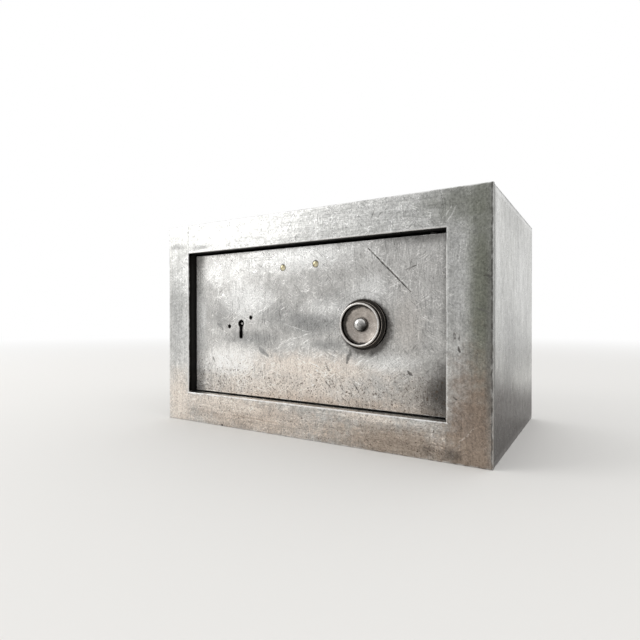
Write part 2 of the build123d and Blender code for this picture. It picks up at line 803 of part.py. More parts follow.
with BuildPart() as crank_disc:
    with BuildSketch(depth_plane(crank_back)):
        with Locations((knob_x, knob_z)):
            Circle(crank_radius + crank_pin_diameter / 2 + crank_rim)
            Rectangle(spindle_square, spindle_square, mode=Mode.SUBTRACT)
        with Locations((crank_pin_x, crank_pin_z)):
            Circle(crank_pin_diameter / 2, mode=Mode.SUBTRACT)
    extrude(amount=crank_thickness)
pieces["crank_disc"] = crank_disc

with BuildPart() as crank_pin:
    with BuildSketch(depth_plane(crank_pin_back)):
        with Locations((crank_pin_x, crank_pin_z)):
            Circle(crank_pin_diameter / 2)
    extrude(amount=crank_pin_back - crank_front)
    chamfer(crank_pin.edges().sort_by(Axis.Y)[-1], crank_pin_chamfer)
pieces["crank_pin"] = crank_pin

# Boltwork: one flat carrier that the crank pin pushes, with three bolts riveted on its cross bar
with BuildPart() as bolt_carrier:
    with BuildSketch(depth_plane(carrier_back)) as carrier_outline:
        rectangle_between(cross_bar_left, cross_bar_right, cross_bar_low, carrier_bar_high)
        rectangle_between(cross_bar_left, crank_arm_right, carrier_bar_low, carrier_bar_high)
        rectangle_between(crank_arm_left, crank_arm_right, crank_arm_low, carrier_bar_high)
        fillet(carrier_outline.vertices(), carrier_corner)
        with Locations(*[(bolt_rivet_x, z) for z in bolt_heights]):
            Circle(bolt_rivet_diameter / 2, mode=Mode.SUBTRACT)
        with Locations((crank_pin_x, (crank_slot_low + crank_slot_high) / 2)):
            SlotOverall(
                crank_slot_high - crank_slot_low, 2 * crank_slot_half, rotation=90, mode=Mode.SUBTRACT
            )
        for guide_x in guide_places:
            with Locations((guide_x + bolt_throw / 2, carrier_bar_middle)):
                SlotOverall(guide_slot_length, guide_slot_width, mode=Mode.SUBTRACT)
        for notch_x in (lock_bolt_x, lock_bolt_x + bolt_throw):
            rectangle_between(
                notch_x - notch_half,
                notch_x + notch_half,
                carrier_bar_low,
                notch_top,
                mode=Mode.SUBTRACT,
            )
    extrude(amount=carrier_thickness)
pieces["bolt_carrier"] = bolt_carrier

with BuildPart() as locking_bolts:
    for bolt_z in bolt_heights:
        with BuildSketch(Plane.YZ.offset(bolt_tip)):
            with Locations((depth_y(bolt_depth), bolt_z)):
                Circle(bolt_radius)
        extrude(amount=bolt_tail - bolt_tip)
    chamfer(locking_bolts.faces().group_by(Axis.X)[0].edges(), bolt_tip_chamfer)
    for cut_back, cut_thickness in fork_cuts:
        with BuildSketch(depth_plane(cut_back)):
            rectangle_between(cross_bar_left, bolt_tail, cross_bar_low, carrier_bar_high)
        extrude(amount=cut_thickness, mode=Mode.SUBTRACT)
    with BuildSketch(depth_plane(fork_back)):
        with Locations(*[(bolt_rivet_x, z) for z in bolt_heights]):
            Circle(bolt_rivet_diameter / 2)
    extrude(amount=fork_back - fork_front, mode=Mode.SUBTRACT)
pieces["locking_bolts"] = locking_bolts

with BuildPart() as bolt_rivets:
    with BuildSketch(depth_plane(fork_back)):
        with Locations(*[(bolt_rivet_x, z) for z in bolt_heights]):
            Circle(bolt_rivet_diameter / 2)
    extrude(amount=fork_back - fork_front)
pieces["bolt_rivets"] = bolt_rivets

with BuildPart() as carrier_guides:
    for guide_x in guide_places:
        with BuildSketch(turning_plane(guide_x, carrier_bar_middle)):
            with BuildLine():
                Polyline(
                    (0, plate_back - lock_screw_bite),
                    (guide_stud_diameter / 2, plate_back - lock_screw_bite),
                    (guide_stud_diameter / 2, plate_back),
                    (guide_collar_diameter / 2, plate_back),
                    (guide_collar_diameter / 2, carrier_front - guide_face_clearance),
                    (guide_stud_diameter / 2, carrier_front - guide_face_clearance),
                    (guide_stud_diameter / 2, guide_stud_back),
                    (0, guide_stud_back),
                    close=True,
                )
            make_face()
        revolve(axis=turning_axis(guide_x, carrier_bar_middle))
pieces["carrier_guides"] = carrier_guides

with BuildPart() as guide_washers:
    with BuildSketch(depth_plane(guide_washer_back)):
        with Locations(*[(x, carrier_bar_middle) for x in guide_places]):
            Circle(guide_collar_diameter / 2)
            Circle(guide_stud_diameter / 2, mode=Mode.SUBTRACT)
    extrude(amount=guide_washer_thickness)
pieces["guide_washers"] = guide_washers

# Lock: a cast case screwed behind the keyhole, with its cap and the pin that a pipe key slides over
with BuildPart() as lock_case:
    with BuildSketch(depth_plane(lock_cap_front)):
        rectangle_between(lock_left, lock_right, lock_low, lock_high)
    extrude(amount=lock_case_depth)
    with BuildSketch(depth_plane(lock_cap_front)):
        rectangle_between(lock_inner_left, lock_inner_right, lock_inner_low, lock_inner_high)
        with Locations(*lock_screw_places):
            Circle(lock_boss_radius, mode=Mode.SUBTRACT)
    extrude(amount=lock_case_depth - lock_floor, mode=Mode.SUBTRACT)
    with BuildSketch(depth_plane(lock_bolt_back)):
        for rib_left in (tail_rib_left, tail_rib_right):
            rectangle_between(
                rib_left, rib_left + tail_rib_width, lock_inner_low, lock_inner_low + tail_rib_height
            )
    extrude(amount=lock_bolt_back - lock_floor_back)
    with BuildSketch(depth_plane(lock_cap_front)):
        with Locations(*lock_screw_places):
            Circle(lock_screw_diameter / 2)
    extrude(amount=lock_case_depth, mode=Mode.SUBTRACT)
    with BuildSketch(depth_plane(lock_floor_back)):
        keyhole(mode=Mode.ADD)
        with Locations((lever_pivot_x, lever_pivot_z)):
            Circle(lever_pivot_diameter / 2)
    extrude(amount=lock_floor, mode=Mode.SUBTRACT)
    with BuildSketch(depth_plane(carrier_back + lock_bolt_slide_clearance)):
        rectangle_between(
            lock_bolt_x - lock_bolt_half_head - lock_bolt_slide_clearance,
            lock_bolt_right + lock_bolt_slide_clearance,
            lock_inner_high,
            lock_high,
        )
    extrude(amount=carrier_back + lock_bolt_slide_clearance - lock_floor_back, mode=Mode.SUBTRACT)
pieces["lock_case"] = lock_case

with BuildPart() as lock_cap:
    with BuildSketch(depth_plane(lock_cap_back)):
        rectangle_between(lock_left, lock_right, lock_low, lock_high)
        with Locations(*lock_screw_places):
            Circle(lock_screw_diameter / 2, mode=Mode.SUBTRACT)
        with Locations((key_x, key_z)):
            Circle(drill_pin_diameter / 2, mode=Mode.SUBTRACT)
    extrude(amount=lock_cap_thickness)
pieces["lock_cap"] = lock_cap

with BuildPart() as lock_screws:
    with BuildSketch(depth_plane(lock_cap_back)):
        with Locations(*lock_screw_places):
            Circle(lock_screw_diameter / 2)
    extrude(amount=lock_cap_back - plate_back + lock_screw_bite)
    with BuildSketch(depth_plane(lock_cap_back + lock_screw_head_height)):
        with Locations(*lock_screw_places):
            Circle(lock_screw_head_diameter / 2)
    extrude(amount=lock_screw_head_height)
pieces["lock_screws"] = lock_screws

with BuildPart() as drill_pin:
    with BuildSketch(depth_plane(lock_cap_back)):
        with Locations((key_x, key_z)):
            Circle(drill_pin_diameter / 2)
    extrude(amount=lock_cap_back - door_recess - drill_pin_inset)
    chamfer(drill_pin.edges().sort_by(Axis.Y)[0], drill_pin_diameter / 6)
pieces["drill_pin"] = drill_pin

with BuildPart() as lever_pivot:
    with BuildSketch(depth_plane(lock_cap_front)):
        with Locations((lever_pivot_x, lever_pivot_z)):
            Circle(lever_pivot_diameter / 2)
    extrude(amount=lock_case_depth)
pieces["lever_pivot"] = lever_pivot

# Lock bolt: its head rises into a notch of the carrier, its stump runs in the levers' gates
with BuildPart() as lock_bolt:
    with BuildSketch(depth_plane(lock_bolt_back)):
        rectangle_between(lock_bolt_left, lock_bolt_right, lock_bolt_body_low, lock_bolt_shoulder)
        rectangle_between(lock_bolt_left, lock_bolt_tail_right, lock_bolt_low, lock_bolt_shoulder)
        rectangle_between(
            lock_bolt_x - lock_bolt_half_head, lock_bolt_right, lock_bolt_shoulder, lock_bolt_top
        )
        with Locations((lock_bolt_left, key_z)):
            Circle(talon_radius, mode=Mode.SUBTRACT)
    extrude(amount=lock_bolt_thickness)
    with BuildSketch(depth_plane(carrier_back)):
        rectangle_between(
            lock_bolt_x - lock_bolt_half_head, lock_bolt_right, lock_bolt_head_low, lock_bolt_top
        )
    extrude(amount=carrier_back - lock_bolt_front)
    with BuildSketch(depth_plane(stump_back)):
        with Locations((lock_bolt_x, stump_z)):
            Rectangle(stump_width, stump_height)
    extrude(amount=stump_back - lock_bolt_back)
pieces["lock_bolt"] = lock_bolt

# Levers: flat plates with two pockets joined by a gate, each with its own leaf spring
for number, lever_front in enumerate(lever_fronts, start=1):
    with BuildPart() as lever:
        with BuildSketch(depth_plane(lever_front + lever_thickness)):
            with Locations((lever_pivot_x, lever_pivot_z)):
                Circle(lever_eye_radius)
            rectangle_between(lever_left, lever_right, lever_pivot_z, lever_top)
            with Locations((key_x + key_cut_radius + lever_belly_radius, key_z)):
                Circle(lever_belly_radius)
            rectangle_between(
                lock_bolt_x - gate_half,
                lock_bolt_x + gate_half,
                stump_z - pocket_half,
                stump_high_z + pocket_half,
                mode=Mode.SUBTRACT,
            )
            for pocket_z in (stump_z, stump_high_z):
                rectangle_between(
                    lock_bolt_x,
                    pocket_right,
                    pocket_z - pocket_half,
                    pocket_z + pocket_half,
                    mode=Mode.SUBTRACT,
                )
            with Locations((lever_pivot_x, lever_pivot_z)):
                Circle(lever_pivot_diameter / 2 + lever_pivot_clearance, mode=Mode.SUBTRACT)
        extrude(amount=lever_thickness)
    pieces[f"lever_{number}"] = lever

    with BuildPart() as lever_spring:
        with BuildSketch(depth_plane(lever_front + lever_thickness)):
            with BuildLine():
                Polyline(
                    (lever_right, spring_top),
                    (lever_right, spring_top - spring_foot),
                    (spring_wall_x - spring_thickness, spring_top - spring_length),
                    (spring_wall_x, spring_top - spring_length),
                    (spring_wall_x, spring_top - spring_length + spring_thickness),
                    close=True,
                )
            make_face()
        extrude(amount=lever_thickness)
    pieces[f"lever_{number}_spring"] = lever_spring

os.makedirs("parts", exist_ok=True)
for name, piece in pieces.items():
    piece.part.label = name
    export_step(piece.part, f"parts/{name}.step")
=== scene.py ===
"""Dresses the small steel safe: patinated plates, door, dish knob, studs, liner, lock and studio."""
import logging
import math
from dataclasses import dataclass
from enum import Enum

import bmesh
import bpy
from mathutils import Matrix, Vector


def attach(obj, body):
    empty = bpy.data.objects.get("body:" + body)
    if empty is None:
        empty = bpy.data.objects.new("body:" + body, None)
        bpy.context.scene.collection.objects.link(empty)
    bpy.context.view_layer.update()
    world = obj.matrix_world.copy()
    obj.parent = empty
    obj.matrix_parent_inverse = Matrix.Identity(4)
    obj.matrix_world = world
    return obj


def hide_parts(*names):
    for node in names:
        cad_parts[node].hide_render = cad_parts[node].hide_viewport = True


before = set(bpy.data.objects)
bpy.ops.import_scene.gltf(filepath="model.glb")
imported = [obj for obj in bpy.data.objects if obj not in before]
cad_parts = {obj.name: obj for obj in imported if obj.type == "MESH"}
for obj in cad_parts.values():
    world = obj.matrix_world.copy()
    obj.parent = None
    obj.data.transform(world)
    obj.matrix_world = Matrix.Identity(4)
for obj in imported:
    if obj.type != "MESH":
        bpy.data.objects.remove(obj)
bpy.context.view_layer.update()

log = logging.getLogger("safe")

Socket = bpy.types.NodeSocket
Sockets = tuple[Socket, ...]
Given = dict[str, Socket]
Feed = Socket | float | tuple
Pair = tuple[float, float]
Point = tuple[float, float, float]
Rgb = tuple[float, float, float]
Rows = tuple[tuple, ...]

# Lengths are in millimetres, except where metres are named.
MM = 0.001
CASE_MIDDLE = (0.0, 0.0, 91.5)
CASE_REACH = (150.0, 89.5, 91.5)
FRONT_Y = -89.5
DOOR_Y = -80.5
RIM_MIDDLE = (-1.75, FRONT_Y, 92.0)
RIM_REACH = (121.75, 0.0, 65.0)
STUDS = ((-20.35, 138.8), (11.95, 140.0))
KNOB = (54.5, 91.6)
STUD_REACH = 4.0
SLOT_STEP = 0.05
SLACK = 0.01
PATCH_DEPTH = 20
CORNER_WIDTH = 0.12
CORNER_ANGLE = math.radians(35)
# Times a place, this leaves its X and Z, as seen from the front.
FACE_ON = (1.0, 0.0, 1.0)

WHITE = (1.0, 1.0, 1.0)
DIM = (0.57, 0.57, 0.57)
METAL_CAP = (0.93, 0.93, 0.92)
# Black of the reveal and the jambs: partly black paint, partly painted shade.
REVEAL_PAINT_AND_SHADE = (0.014, 0.013, 0.012)
# Near black and dark grey: real dirt in scratches and seams, and also painted shade and painted shadow in
# hollows, in gaps, on the dome and round the knob and the studs.
INK = (0.02, 0.018, 0.016)
SOOT_AND_SHADE = (0.07, 0.065, 0.06)
SLATE = (0.16, 0.158, 0.15)
GREY = (0.30, 0.30, 0.295)
OLIVE = (0.19, 0.197, 0.16)
WARM = (0.56, 0.455, 0.37)
BROWN = (0.30, 0.21, 0.14)
PALE = (0.86, 0.86, 0.845)
PALE_WARM = (0.82, 0.74, 0.665)


class Grain(Enum):
    """Direction of the brushing, as the stretch of its texture along X, Y and Z."""

    UPRIGHT = (1.0, 1.0, 0.05)
    LEVEL = (0.05, 1.0, 1.0)
    SHORT_UPRIGHT = (1.0, 1.0, 0.16)
    NONE = (1.0, 1.0, 1.0)


class Body(Enum):
    """Moving bodies that new pieces ride on."""

    DOOR = "door"
    KNOB = "knob"


class Graph:
    """Puts nodes into one node tree and links them."""

    def __init__(self, tree: bpy.types.NodeTree) -> None:
        """Keep the tree that the nodes go into."""
        self.tree = tree

    def node(self, kind: str, *values: Feed, **settings: object) -> bpy.types.Node:
        """Add a node.

        Args:
            kind: the node's type name.
            values: what its first inputs get, in order.
            settings: properties set on it.

        Returns:
            The new node.
        """
        made = self.tree.nodes.new(kind)
        for name, value in settings.items():
            setattr(made, name, value)
        for socket, value in zip(made.inputs, values):
            self.feed(socket, value)
        return made

    def feed(self, socket: Socket, value: Feed) -> None:
        """Link a socket's output to an input, or set the input's value.

        Args:
            socket: the input.
            value: an output socket, a number or a tuple.
        """
        if isinstance(value, Socket):
            self.tree.links.new(value, socket)
        else:
            socket.default_value = value

    def feed_named(self, made: bpy.types.Node, **values: Feed) -> bpy.types.Node:
        """Feed a node's inputs by their names.

        Args:
            made: the node.
            values: what each named input gets.

        Returns:
            The same node.
        """
        for name, value in values.items():
            self.feed(made.inputs[name], value)
        return made

    def maths(self, operation: str, *values: Feed) -> Socket:
        """Output of a Math node."""
        return self.node("ShaderNodeMath", *values, operation=operation).outputs[0]

    def times(self, first: Feed, second: Feed) -> Socket:
        """Product of two values."""
        return self.maths("MULTIPLY", first, second)

    def plus(self, first: Feed, second: Feed) -> Socket:
        """Sum of two values."""
        return self.maths("ADD", first, second)

    def minus(self, first: Feed, second: Feed) -> Socket:
        """Difference of two values."""
        return self.maths("SUBTRACT", first, second)

    def vector(self, operation: str, *values: Feed) -> Socket:
        """Add a Vector Math node.

        Args:
            operation: its operation.
            values: its inputs.

        Returns:
            Its vector, or its value where the operation gives one.
        """
        made = self.node("ShaderNodeVectorMath", *values, operation=operation)
        gives_value = operation in ("LENGTH", "DOT_PRODUCT")
        return made.outputs["Value" if gives_value else "Vector"]

    def scaled(self, place: Feed, factor: Feed) -> Socket:
        """A vector times a number."""
        made = self.node("ShaderNodeVectorMath", place, operation="SCALE")
        return self.feed_named(made, Scale=factor).outputs["Vector"]

    def joined(self, *values: Feed) -> Socket:
        """A vector from its X, Y and Z."""
        return self.node("ShaderNodeCombineXYZ", *values).outputs[0]

    def parts(self, place: Feed) -> Sockets:
        """The X, Y and Z of a vector."""
        return tuple(self.node("ShaderNodeSeparateXYZ", place).outputs)

    def noise(
        self, place: Feed, scale: Feed, detail: float = 3.0, rough: float = 0.55, output: int = 0,
    ) -> Socket:
        """Add a Noise Texture.

        Args:
            place: where it is read.
            scale: its scale.
            detail: its octaves.
            rough: how much its finer octaves count.
            output: 0 for its value, 1 for a value on each axis.

        Returns:
            The chosen output.
        """
        made = self.node("ShaderNodeTexNoise")
        return self.feed_named(made, Vector=place, Scale=scale, Detail=detail, Roughness=rough).outputs[output]

    def ramp(self, value: Feed, start: Feed, end: Feed, low: Feed = 0.0, high: Feed = 1.0) -> Socket:
        """Smooth step of a value.

        Args:
            value: what is mapped.
            start: value at which the result is low.
            end: value at which the result is high.
            low: result at the start.
            high: result at the end.

        Returns:
            The mapped value.
        """
        given = (value, start, end, low, high)
        return self.node("ShaderNodeMapRange", *given, interpolation_type="SMOOTHSTEP").outputs[0]

    def tint(self, share: Feed, under: Feed, over: Feed) -> Socket:
        """Mix two colours.

        Args:
            share: share of the upper colour.
            under: lower colour.
            over: upper colour.

        Returns:
            The mixed colour.
        """
        made = self.node("ShaderNodeMix", share, data_type="RGBA")
        for socket, colour in ((made.inputs[6], under), (made.inputs[7], over)):
            self.feed(socket, (*colour, 1.0) if isinstance(colour, tuple) else colour)
        return made.outputs[2]

    def effect(self, effect: type["Effect"], **inputs: Feed) -> bpy.types.Node:
        """Place a shared effect and feed its inputs by name."""
        return self.feed_named(self.node("ShaderNodeGroup", node_tree=effect.tree()), **inputs)


class Effect:
    """A shader node group that several finishes use. It is built once."""

    title = ""
    vectors: tuple[str, ...] = ("Place",)
    numbers: tuple[str, ...] = ()
    gives: tuple[str, ...] = ("Mask",)

    @classmethod
    def tree(cls) -> bpy.types.NodeTree:
        """The group's node tree, built at its first use."""
        if cls.title in bpy.data.node_groups:
            return bpy.data.node_groups[cls.title]
        tree = bpy.data.node_groups.new(cls.title, "ShaderNodeTree")
        for names, side, kind in (
            (cls.vectors, "INPUT", "Vector"), (cls.numbers, "INPUT", "Float"), (cls.gives, "OUTPUT", "Float"),
        ):
            for name in names:
                tree.interface.new_socket(name=name, in_out=side, socket_type=f"NodeSocket{kind}")
        graph = Graph(tree)
        source = graph.node("NodeGroupInput")
        given = {name: source.outputs[name] for name in cls.vectors + cls.numbers}
        graph.node("NodeGroupOutput", *cls.build(graph, given))
        return tree

    @classmethod
    def build(cls, graph: Graph, given: Given) -> Sockets:
        """Add the group's nodes.

        Args:
            graph: the group's graph.
            given: its input sockets by name.

        Returns:
            Its outputs, in the order of gives.
        """
        raise NotImplementedError


class Clouds(Effect):
    """Cloudy patches of patina."""

    title = "cloudy_patina"
    numbers = ("Size", "Softness")

    @classmethod
    def build(cls, graph: Graph, given: Given) -> Sockets:
        """Noise of the given size about its middle value; returns the mask."""
        scale = graph.maths("DIVIDE", 1.0, given["Size"])
        value = graph.noise(given["Place"], scale, detail=6.0, rough=0.62)
        low = graph.minus(0.5, given["Softness"])
        high = graph.plus(0.5, given["Softness"])
        return (graph.ramp(value, low, high),)


class Brushing(Effect):
    """Fine streaks left by brushing, along the axis where the stretch is small."""

    title = "brushed_streaks"
    vectors = ("Place", "Stretch")
    numbers = ("Size",)
    gives = ("Streaks", "Height")

    @classmethod
    def build(cls, graph: Graph, given: Given) -> Sockets:
        """Stretched noise; returns streaks for the colour, even about a half, and a fine height."""
        place = graph.vector("MULTIPLY", given["Place"], given["Stretch"])
        scale = graph.maths("DIVIDE", 1.0, given["Size"])
        fine = graph.noise(place, scale, detail=3.0, rough=0.75)
        coarse = graph.noise(place, graph.times(scale, 0.25), detail=2.0)
        both = graph.plus(graph.times(fine, 0.62), graph.times(coarse, 0.38))
        return (graph.ramp(both, 0.36, 0.64), fine)


class Strokes(Effect):
    """Short strokes of a hand brush or emery cloth that run one way, in patches."""

    title = "hand_strokes"
    numbers = ("Turn", "Width", "Length", "Share")

    @classmethod
    def build(cls, graph: Graph, given: Given) -> Sockets:
        """Crests of noise stretched along one direction of the face, broken up in patches; returns the mask."""
        turn = graph.node("ShaderNodeVectorRotate", given["Place"], rotation_type="Y_AXIS")
        place = graph.feed_named(turn, Angle=given["Turn"]).outputs[0]
        size = graph.joined(given["Length"], given["Width"], given["Width"])
        crest = graph.noise(graph.vector("DIVIDE", place, size), 1.0, detail=2.0, rough=0.6)
        line = graph.ramp(crest, 0.57, 0.68)
        patch = graph.noise(place, 0.055, detail=4.0)
        patch = graph.ramp(patch, graph.minus(0.66, given["Share"]), 0.66)
        return (graph.times(line, patch),)


class Pits(Effect):
    """Small pits that rust has eaten."""

    title = "rust_pits"
    numbers = ("Size", "Share")

    @classmethod
    def build(cls, graph: Graph, given: Given) -> Sockets:
        """Some cells of a Voronoi texture near their centres; returns the mask."""
        wobble = graph.scaled(graph.noise(given["Place"], 0.7, rough=0.5, output=1), 3.0)
        place = graph.vector("ADD", given["Place"], wobble)
        cells = graph.node("ShaderNodeTexVoronoi")
        graph.feed_named(cells, Vector=place, Scale=graph.maths("DIVIDE", 1.0, given["Size"]))
        chance = graph.parts(cells.outputs["Color"])[0]
        reach = graph.times(graph.minus(given["Share"], chance), 0.95)
        return (graph.ramp(graph.minus(reach, cells.outputs["Distance"]), 0.0, 0.12),)


class ArrisWear(Effect):
    """Bright wear along the twelve arrises of a box."""

    title = "arris_wear"
    vectors = ("Place", "Middle", "Reach")
    numbers = ("Width",)

    @classmethod
    def build(cls, graph: Graph, given: Given) -> Sockets:
        """Distance to the nearest arris against an uneven width; returns the mask."""
        offset = graph.vector("ABSOLUTE", graph.vector("SUBTRACT", given["Place"], given["Middle"]))
        a, b, c = graph.parts(graph.vector("SUBTRACT", given["Reach"], offset))
        near = graph.maths("MINIMUM", graph.maths("MAXIMUM", a, b), c)
        distance = graph.maths("MAXIMUM", graph.maths("MINIMUM", a, b), near)
        uneven = graph.ramp(graph.noise(given["Place"], 0.16, detail=5.0, rough=0.7), 0.32, 0.68, 0.15, 1.7)
        width = graph.times(given["Width"], uneven)
        return (graph.ramp(distance, 0.0, width, 1.0, 0.0),)


class RimWear(Effect):
    """Bright wear along the rim of the opening in the front, and the reveal behind it, which takes black paint
    and painted shade.
    """

    title = "rim_wear"
    vectors = ("Place", "Middle", "Reach")
    numbers = ("Width",)
    gives = ("Mask", "Inside", "Sill")
    reveal_side = (0.05, 0.3)
    reveal_depth = (0.55, 1.1)
    sill_height = (-64.0, -64.6)
    sill_depth = (7.4, 9.2)

    @classmethod
    def build(cls, graph: Graph, given: Given) -> Sockets:
        """Distance to the rim; returns the wear, the reveal for black paint and painted shade, and the sill at
        its foot, which faces up and stays bare.
        """
        offset = graph.vector("SUBTRACT", given["Place"], given["Middle"])
        x, _, z = graph.parts(graph.vector("SUBTRACT", graph.vector("ABSOLUTE", offset), given["Reach"]))
        side = graph.maths("MAXIMUM", x, z)
        _, y, height = graph.parts(offset)
        distance = graph.maths("MAXIMUM", side, y)
        uneven = graph.ramp(graph.noise(given["Place"], 0.2, detail=5.0, rough=0.65), 0.3, 0.7, 0.35, 1.5)
        width = graph.times(given["Width"], uneven)
        wear = graph.ramp(distance, 0.0, width, 1.0, 0.0)
        inside = graph.times(graph.ramp(side, *cls.reveal_side, 1.0, 0.0), graph.ramp(y, *cls.reveal_depth))
        foot = graph.times(graph.ramp(height, *cls.sill_height), graph.ramp(y, *cls.sill_depth, 1.0, 0.0))
        return (wear, inside, graph.times(inside, foot))


class Line(Effect):
    """A scratch, a seam or a band of painted shade between two points, uneven and broken as real scratches are.
    """

    title = "drawn_line"
    vectors = ("Place", "Start", "End")
    numbers = ("Width", "Wobble", "Taper")

    @classmethod
    def build(cls, graph: Graph, given: Given) -> Sockets:
        """Distance to the stretch between the points, with a wandering course; returns the mask."""
        wander = graph.noise(given["Place"], 0.22, detail=4.0, rough=0.5, output=1)
        drift = graph.vector("SUBTRACT", wander, (0.5, 0.5, 0.5))
        place = graph.vector("ADD", given["Place"], graph.scaled(drift, given["Wobble"]))
        along = graph.vector("SUBTRACT", given["End"], given["Start"])
        offset = graph.vector("SUBTRACT", place, given["Start"])
        length = graph.maths("MAXIMUM", graph.vector("DOT_PRODUCT", along, along), 0.0001)
        share = graph.maths("DIVIDE", graph.vector("DOT_PRODUCT", offset, along), length)
        share = graph.maths("MINIMUM", graph.maths("MAXIMUM", share, 0.0), 1.0)
        distance = graph.vector("LENGTH", graph.vector("SUBTRACT", offset, graph.scaled(along, share)))
        bow = graph.times(graph.times(share, graph.minus(1.0, share)), 4.0)
        thin = graph.minus(1.0, graph.times(given["Taper"], graph.minus(1.0, bow)))
        half = graph.times(given["Width"], graph.times(thin, 0.5))
        line = graph.ramp(distance, graph.times(half, 0.45), graph.plus(half, 0.1), 1.0, 0.0)
        broken = graph.ramp(graph.noise(given["Place"], 0.3, detail=3.0), 0.36, 0.54, 0.5, 1.0)
        return (graph.times(line, broken),)


class Band(Effect):
    """A ring about an axis along Y, at a radius and a depth."""

    title = "ring_band"
    vectors = ("Place", "Middle")
    numbers = ("Radius", "Width")

    @classmethod
    def build(cls, graph: Graph, given: Given) -> Sockets:
        """Distance to the circle; returns the mask."""
        offset = graph.vector("SUBTRACT", given["Place"], given["Middle"])
        _, depth, _ = graph.parts(offset)
        radius = graph.vector("LENGTH", graph.vector("MULTIPLY", offset, FACE_ON))
        off = graph.joined(graph.minus(radius, given["Radius"]), depth)
        uneven = graph.ramp(graph.noise(given["Place"], 0.35, detail=3.0), 0.3, 0.7, 0.75, 1.25)
        distance = graph.times(graph.vector("LENGTH", off), uneven)
        return (graph.ramp(distance, graph.times(given["Width"], 0.35), given["Width"], 1.0, 0.0),)


class Spot(Effect):
    """A soft patch with an uneven edge, for stains and for painted light and shade."""

    title = "soft_patch"
    vectors = ("Place", "Middle", "Reach")
    numbers = ("Unevenness",)

    @classmethod
    def build(cls, graph: Graph, given: Given) -> Sockets:
        """Distance in units of the reach, disturbed by noise; returns the mask."""
        offset = graph.vector("SUBTRACT", given["Place"], given["Middle"])
        offset = graph.vector("DIVIDE", offset, given["Reach"])
        fine = graph.minus(graph.noise(given["Place"], 0.10, detail=9.0, rough=0.76), 0.5)
        distance = graph.plus(graph.vector("LENGTH", offset), graph.times(fine, given["Unevenness"]))
        return (graph.ramp(distance, 0.15, 1.0, 1.0, 0.0),)


class FootReflection(Effect):
    """A painted dark reflection at the foot, below a sloping line, with a streaky edge."""

    title = "painted_dark_foot"
    numbers = ("Front", "Back")
    unevenness = 14.0
    softness = 30.0

    @classmethod
    def build(cls, graph: Graph, given: Given) -> Sockets:
        """Height against a line from the front to the back; returns the mask."""
        _, y, z = graph.parts(given["Place"])
        line = graph.ramp(y, FRONT_Y, -FRONT_Y, given["Front"], given["Back"])
        uneven = graph.noise(graph.vector("MULTIPLY", given["Place"], (1.0, 1.0, 0.15)), 0.5, detail=4.0)
        above = graph.plus(graph.minus(z, line), graph.times(uneven, cls.unevenness))
        return (graph.ramp(above, 0.0, cls.softness, 1.0, 0.0),)


class Surroundings(Effect):
    """How light the soft surroundings are in a direction: white, and dimmer to the right behind the camera."""

    title = "soft_surroundings"
    vectors = ("Way",)
    dim_side = (0.45, -0.89, 0.10)
    fade = (0.30, 0.85)

    @classmethod
    def build(cls, graph: Graph, given: Given) -> Sockets:
        """Angle to the dim side; returns the share of white."""
        way = graph.vector("NORMALIZE", given["Way"])
        return (graph.ramp(graph.vector("DOT_PRODUCT", way, cls.dim_side), *cls.fade, 1.0, 0.0),)


class Surface(Graph):
    """A material in the making, with its colour and its height so far."""

    def __init__(self, name: str) -> None:
        """Start an empty material of this name."""
        self.material = bpy.data.materials.new(name)
        self.material.use_nodes = True
        super().__init__(self.material.node_tree)
        self.shader = self.tree.nodes["Principled BSDF"]
        self.place = self.scaled(self.node("ShaderNodeTexCoord").outputs["Object"], 1.0 / MM)
        self.tone: Feed = WHITE
        self.height: Feed = 0.0

    def mask(self, effect: type[Effect], **inputs: Feed) -> Socket:
        """Mask of a shared effect on this surface."""
        return self.effect(effect, Place=self.place, **inputs).outputs["Mask"]

    def cover(self, share: Feed, colour: Feed) -> None:
        """Lay a colour over the surface."""
        self.tone = self.tint(share, self.tone, colour)

    def shade(self, amount: Feed) -> None:
        """Scale the colour by one plus an amount."""
        self.tone = self.scaled(self.tone, self.plus(amount, 1.0))

    def lift(self, mask: Feed, amount: float) -> None:
        """Raise the surface by an amount where the mask is one."""
        self.height = self.plus(self.height, self.times(mask, amount))

    def cap(self) -> None:
        """Keep the colour below that of the brightest steel."""
        self.tone = self.vector("MINIMUM", self.tone, METAL_CAP)

    def lay(self, marks: "Marks") -> None:
        """Lay marks over the surface, in their order."""
        for mark in marks:
            mark.lay(self)

    def finish(self, depth: float, rough: Feed, metal: Feed, edge: float = 1.0) -> bpy.types.Material:
        """Feed the shader.

        Args:
            depth: what a height of one is, in millimetres.
            rough: its roughness.
            metal: how metallic it is.
            edge: how bright the metal is at a grazing angle.

        Returns:
            The material.
        """
        bump = self.feed_named(self.node("ShaderNodeBump"), Distance=depth * MM, Height=self.height)
        self.feed_named(self.shader, Roughness=rough, Metallic=metal, Normal=bump.outputs["Normal"])
        self.feed(self.shader.inputs["Base Color"], self.tone)
        self.feed(self.shader.inputs["Specular Tint"], (edge, edge, edge, 1.0))
        return self.material


class Mark:
    """Something laid over a surface: a tone, and a height where it is cut in or raised."""

    tone: Rgb
    strength: float
    height = 0.0

    def mask(self, surface: Surface) -> Socket:
        """Where the mark is on a surface."""
        raise NotImplementedError

    def lay(self, surface: Surface) -> None:
        """Lay the mark over a surface.

        Args:
            surface: what it goes on.
        """
        mask = self.mask(surface)
        surface.cover(surface.times(mask, self.strength), self.tone)
        if self.height:
            surface.lift(mask, self.height)


Marks = tuple[Mark, ...]


